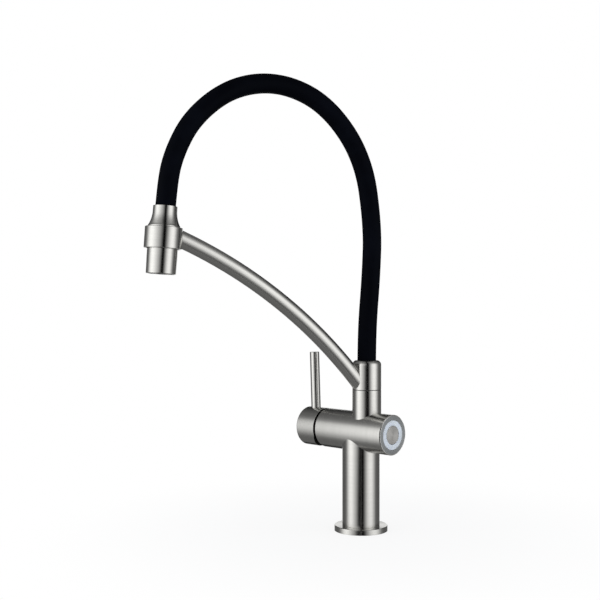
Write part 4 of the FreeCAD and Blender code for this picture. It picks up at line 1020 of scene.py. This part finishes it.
@dataclass
class LightTent:
    """A ball of graded light that only reflections see: a lobe on each side of the camera and a backdrop.

    Attributes:
        radius: Radius of the ball.
        fineness: How many times its faces are split, counting the first ball as one.
        middle: Middle of the ball.
        around: Brightness by bearing from the camera, in degrees; right is positive.
        upward: Share of that brightness by elevation, in degrees.
        ambient: Brightness outside the lobes.
        dark_front: Bearings at which the black front ends and the ambient light is full, in degrees.
        steep: The same for angles below the horizon.
        backdrop: Brightness behind the tap by elevation, in degrees.
        backdrop_edge: Bearings at which the backdrop starts and is full, on both sides, in degrees.
        upper_start: Elevations at which its dark upper part starts to be wider, and is, in degrees.
        upper_reach: How much further that part reaches to each side, in degrees.
        growth: How much wider the left lobe is per degree of elevation, as a share.
        grown: Elevation up to which it widens, in degrees.
    """

    radius: float = 1.3
    fineness: int = 5
    middle: Point = (0.0, 0.0, 0.15)
    around: Pairs = (
        (-180.0, 0.12), (-119.0, 0.13), (-106.0, 0.25), (-97.0, 0.54), (-89.0, 0.96), (-82.0, 1.36),
        (-75.0, 1.58), (-67.0, 1.68), (-59.0, 1.58), (-51.0, 1.36), (-44.0, 1.14), (-36.0, 0.88),
        (-28.0, 0.65), (-21.0, 0.44), (-14.0, 0.20), (-8.0, 0.01), (-7.0, 0.0), (8.0, 0.0),
        (12.0, 0.05), (18.0, 0.25), (24.0, 0.48), (31.0, 0.79), (38.0, 1.12), (46.0, 1.36),
        (55.0, 1.50), (65.0, 1.44), (74.0, 1.14), (83.0, 0.72), (93.0, 0.36), (104.0, 0.17),
        (116.0, 0.12), (180.0, 0.12),
    )
    upward: Pairs = (
        (-90.0, 0.0), (-58.0, 0.03), (-44.0, 0.22), (-28.0, 0.58), (-12.0, 0.88), (2.0, 1.0),
        (18.0, 1.0), (26.0, 0.84), (33.0, 0.50), (42.0, 0.30), (55.0, 0.18), (70.0, 0.05),
        (90.0, 0.0),
    )
    ambient: float = 0.17
    dark_front: tuple[float, float] = (8.0, 34.0)
    steep: tuple[float, float] = (30.0, 55.0)
    backdrop: Pairs = (
        (-90.0, 0.17), (-56.0, 0.15), (-45.0, 0.03), (-26.0, 0.0), (-20.0, 0.80), (-8.0, 1.0),
        (9.0, 1.0), (14.0, 0.03), (36.0, 0.03), (46.0, 0.16), (90.0, 0.17),
    )
    backdrop_edge: tuple[float, float] = (155.0, 166.0)
    upper_start: tuple[float, float] = (14.0, 19.0)
    upper_reach: float = 24.0
    growth: float = 0.013
    grown: float = 9.0

    def widened(self, sheet: NodeSheet, bearing: Socket, elevation: Socket) -> Socket:
        """The bearing at which the lobes are read, which makes the left one wider higher up.

        Args:
            sheet: The material being made.
            bearing: The socket with the bearing, in degrees.
            elevation: The socket with the elevation, in degrees.

        Returns:
            The socket with the changed bearing.
        """
        left_half = self.around[:len(self.around) // 2]
        peak, _ = max(left_half, key=lambda stop: stop[1])
        from_peak = sheet.math("MAXIMUM", sheet.math("SUBTRACT", bearing, peak), 0.0)
        from_peak = sheet.math("MULTIPLY", from_peak, sheet.math("LESS_THAN", bearing, 0.0))
        growth = sheet.math("MULTIPLY", sheet.math("MINIMUM", elevation, self.grown), -self.growth)
        return sheet.math("ADD", bearing, sheet.math("MULTIPLY", from_peak, growth))

    def material(self) -> bpy.types.Material:
        """The graded light, in the ball's own frame with X towards the camera.

        Returns:
            The material.
        """
        sheet = NodeSheet(bpy.data.materials.new("light_tent"))
        x, y, z = sheet.split(sheet.place())
        bearing = sheet.math("DEGREES", sheet.math("ARCTAN2", y, x))
        elevation = sheet.math("DEGREES", sheet.math("ARCTAN2", z, sheet.length(x, y)))
        lobes = sheet.ramp(self.widened(sheet, bearing, elevation), self.around)
        share = sheet.ramp(elevation, self.upward)
        away = sheet.math("ABSOLUTE", bearing)
        around = sheet.spread(away, 0.0, self.ambient, *self.dark_front)
        steep = sheet.spread(sheet.math("MULTIPLY", elevation, -1.0), 0.0, self.ambient, *self.steep)
        around = sheet.math("MAXIMUM", around, steep)
        light = sheet.blend_colours(share, around, lobes)
        wider = sheet.spread(elevation, 0.0, self.upper_reach, *self.upper_start)
        behind = sheet.spread(sheet.math("ADD", away, wider), 0.0, 1.0, *self.backdrop_edge)
        light = sheet.blend_colours(behind, light, sheet.ramp(elevation, self.backdrop))
        return sheet.finish(sheet.add("ShaderNodeEmission", {"Color": light}).outputs[0])

    def build(self, camera_bearing: float) -> None:
        """Make the ball.

        Args:
            camera_bearing: Direction of the camera from the tap, in degrees from X.
        """
        ball = bmesh.new()
        bmesh.ops.create_icosphere(ball, subdivisions=self.fineness, radius=self.radius)
        tent = put_in_scene("light_tent", finished_mesh("light_tent", ball, self.material()))
        tent.location = self.middle
        tent.rotation_euler = (0.0, 0.0, math.radians(camera_bearing))
        tent.visible_camera = False
        tent.visible_diffuse = False
        tent.visible_shadow = False


@dataclass
class Floor:
    """The pale worktop, which is white to the camera and keeps a soft shadow near the tap.

    Attributes:
        radius: Radius of the floor.
        sides: Sides of its outline.
        shadow: How much of the shadow shows close to the tap, as a share.
        shadow_start: Distance from the tap at which it starts to fade.
        shadow_end: Distance at which it is gone.
        grain: Specks per metre.
        darkest: Colour of the darkest specks.
        palest: Colour of the palest.
    """

    radius: float = 3.0
    sides: int = 96
    shadow: float = 0.16
    shadow_start: float = 0.08
    shadow_end: float = 0.352
    grain: float = 900.0
    darkest: Colour = (0.86, 0.86, 0.86)
    palest: Colour = (0.90, 0.90, 0.90)

    def material(self) -> bpy.types.Material:
        """The floor's material.

        Returns:
            The material.
        """
        sheet = NodeSheet(bpy.data.materials.new("pale_floor"))
        distance = sheet.vector("LENGTH", sheet.place())
        share = sheet.spread(distance, self.shadow, 0.0, self.shadow_start, self.shadow_end)
        speckle = sheet.noise(sheet.place(), self.grain)
        pale = sheet.blend_colours(speckle, self.darkest, self.palest)
        lit = sheet.add("ShaderNodeBsdfDiffuse", {"Color": pale}).outputs[0]
        white = sheet.add("ShaderNodeEmission", {"Color": WHITE, "Strength": 1.0}).outputs[0]
        return sheet.finish(sheet.blend_shaders(sheet.seen(), lit, sheet.blend_shaders(share, white, lit)))

    def build(self) -> None:
        """Make the floor."""
        disc = bmesh.new()
        bmesh.ops.create_circle(disc, cap_ends=True, segments=self.sides, radius=self.radius)
        floor = put_in_scene("floor", finished_mesh("floor", disc, self.material()))
        floor.visible_glossy = False


@dataclass
class Studio:
    """Lamps, reflections, floor and camera.

    Attributes:
        view_azimuth: Where the camera stands round the tap, in degrees from straight ahead.
        view_tilt: How far it looks down, in degrees.
        camera_place: The camera's place.
        lens: Focal length for a picture as wide as the sensor, in millimetres.
        sensor: Width of the sensor, in millimetres.
        sight: Nearest and farthest distance that the camera sees.
        middle: The point on the floor that the lamps stand round.
        lamps: Name of each side lamp, and its bearing from the camera's direction in degrees.
        lamp_width: Width of each lamp.
        lamp_height: Height of each lamp.
        lamp_lift: Height of its lower edge above the floor.
        lamp_distance: Distance of the lamps from the middle.
        lamp_brightness: Brightness of the lamps; 1 is white.
        sky: Strength of the world's light on rough surfaces.
        sky_colour: Colour of that light.
        tent: The graded light that reflections see.
        floor: The floor.
    """

    view_azimuth: float = 44.96
    view_tilt: float = 0.3
    camera_place: Point = (0.70497, -0.79355, 0.23906)
    lens: float = 62.62
    sensor: float = 36.0
    sight: tuple[float, float] = (0.02, 20.0)
    middle: tuple[float, float] = (0.0, -0.05)
    lamps: tuple[tuple[str, float], ...] = (("left_lamp", -62.0), ("right_lamp", 66.0))
    lamp_width: float = 1.7
    lamp_height: float = 0.75
    lamp_lift: float = 0.01
    lamp_distance: float = 1.15
    lamp_brightness: float = 0.982
    sky: float = 0.80
    sky_colour: Colour = (0.95, 0.97, 1.0)
    tent: LightTent = field(default_factory=LightTent)
    floor: Floor = field(default_factory=Floor)

    @property
    def camera_bearing(self) -> float:
        """Direction of the camera from the tap, in degrees from X."""
        return self.view_azimuth - 90.0

    def world(self) -> bpy.types.World:
        """The world: white to the camera, to metal and to glass, and a soft grey light to the rest.

        Returns:
            The world.
        """
        sheet = NodeSheet(bpy.data.worlds.new("studio"))
        soft = sheet.add("ShaderNodeBackground", {"Color": self.sky_colour, "Strength": self.sky}).outputs[0]
        white = sheet.add("ShaderNodeBackground", {"Color": WHITE, "Strength": 1.0}).outputs[0]
        return sheet.finish(sheet.blend_shaders(sheet.seen(), soft, white))

    def lamp(self, name: str, bearing: float) -> None:
        """A tall soft lamp at one side, facing the middle.

        Args:
            name: The lamp's name.
            bearing: Where it stands, in degrees from the camera's direction, towards the picture's right.
        """
        data = bpy.data.lights.new(name, "AREA")
        data.shape = "RECTANGLE"
        data.size = self.lamp_width
        data.size_y = self.lamp_height
        data.energy = self.lamp_brightness * LAMP_WATTS * self.lamp_width * self.lamp_height
        angle = math.radians(self.camera_bearing + bearing)
        away = Vector((math.cos(angle), math.sin(angle), 0.0)) * self.lamp_distance
        lamp = put_in_scene(name, data)
        lamp.location = Vector((*self.middle, self.lamp_height / 2 + self.lamp_lift)) + away
        lamp.rotation_mode = "QUATERNION"
        lamp.rotation_quaternion = (-away).to_track_quat("-Z", "Y")
        lamp.visible_camera = False
        lamp.visible_glossy = False

    def camera(self) -> None:
        """The camera at the photograph's angle."""
        data = bpy.data.cameras.new("camera")
        data.sensor_width = self.sensor
        data.lens = self.lens
        data.clip_start, data.clip_end = self.sight
        camera = put_in_scene("camera", data)
        camera.location = self.camera_place
        camera.rotation_euler = (math.radians(90.0 - self.view_tilt), 0.0, math.radians(self.view_azimuth))
        bpy.context.scene.camera = camera

    def build(self) -> None:
        """Set up the world, the lamps, the tent, the floor and the camera."""
        scene = bpy.context.scene
        scene.world = self.world()
        for name, bearing in self.lamps:
            self.lamp(name, bearing)
        self.tent.build(self.camera_bearing)
        self.floor.build()
        self.camera()
        scene.view_settings.view_transform = "Standard"


def main() -> None:
    """Build the tap's looks and the scene round it."""
    logging.basicConfig(level=logging.INFO, format="%(name)s: %(message)s")
    Studio().build()
    finishes = Finishes()
    finishes.dress()
    for piece in (Hose(), SprayJets(), ReturnSpring(finishes.made["stainless_cross"])):
        made = piece.build()
        LOG.info("%s has %d faces", made.name, len(made.data.polygons))


if __name__ == "__main__":
    main()
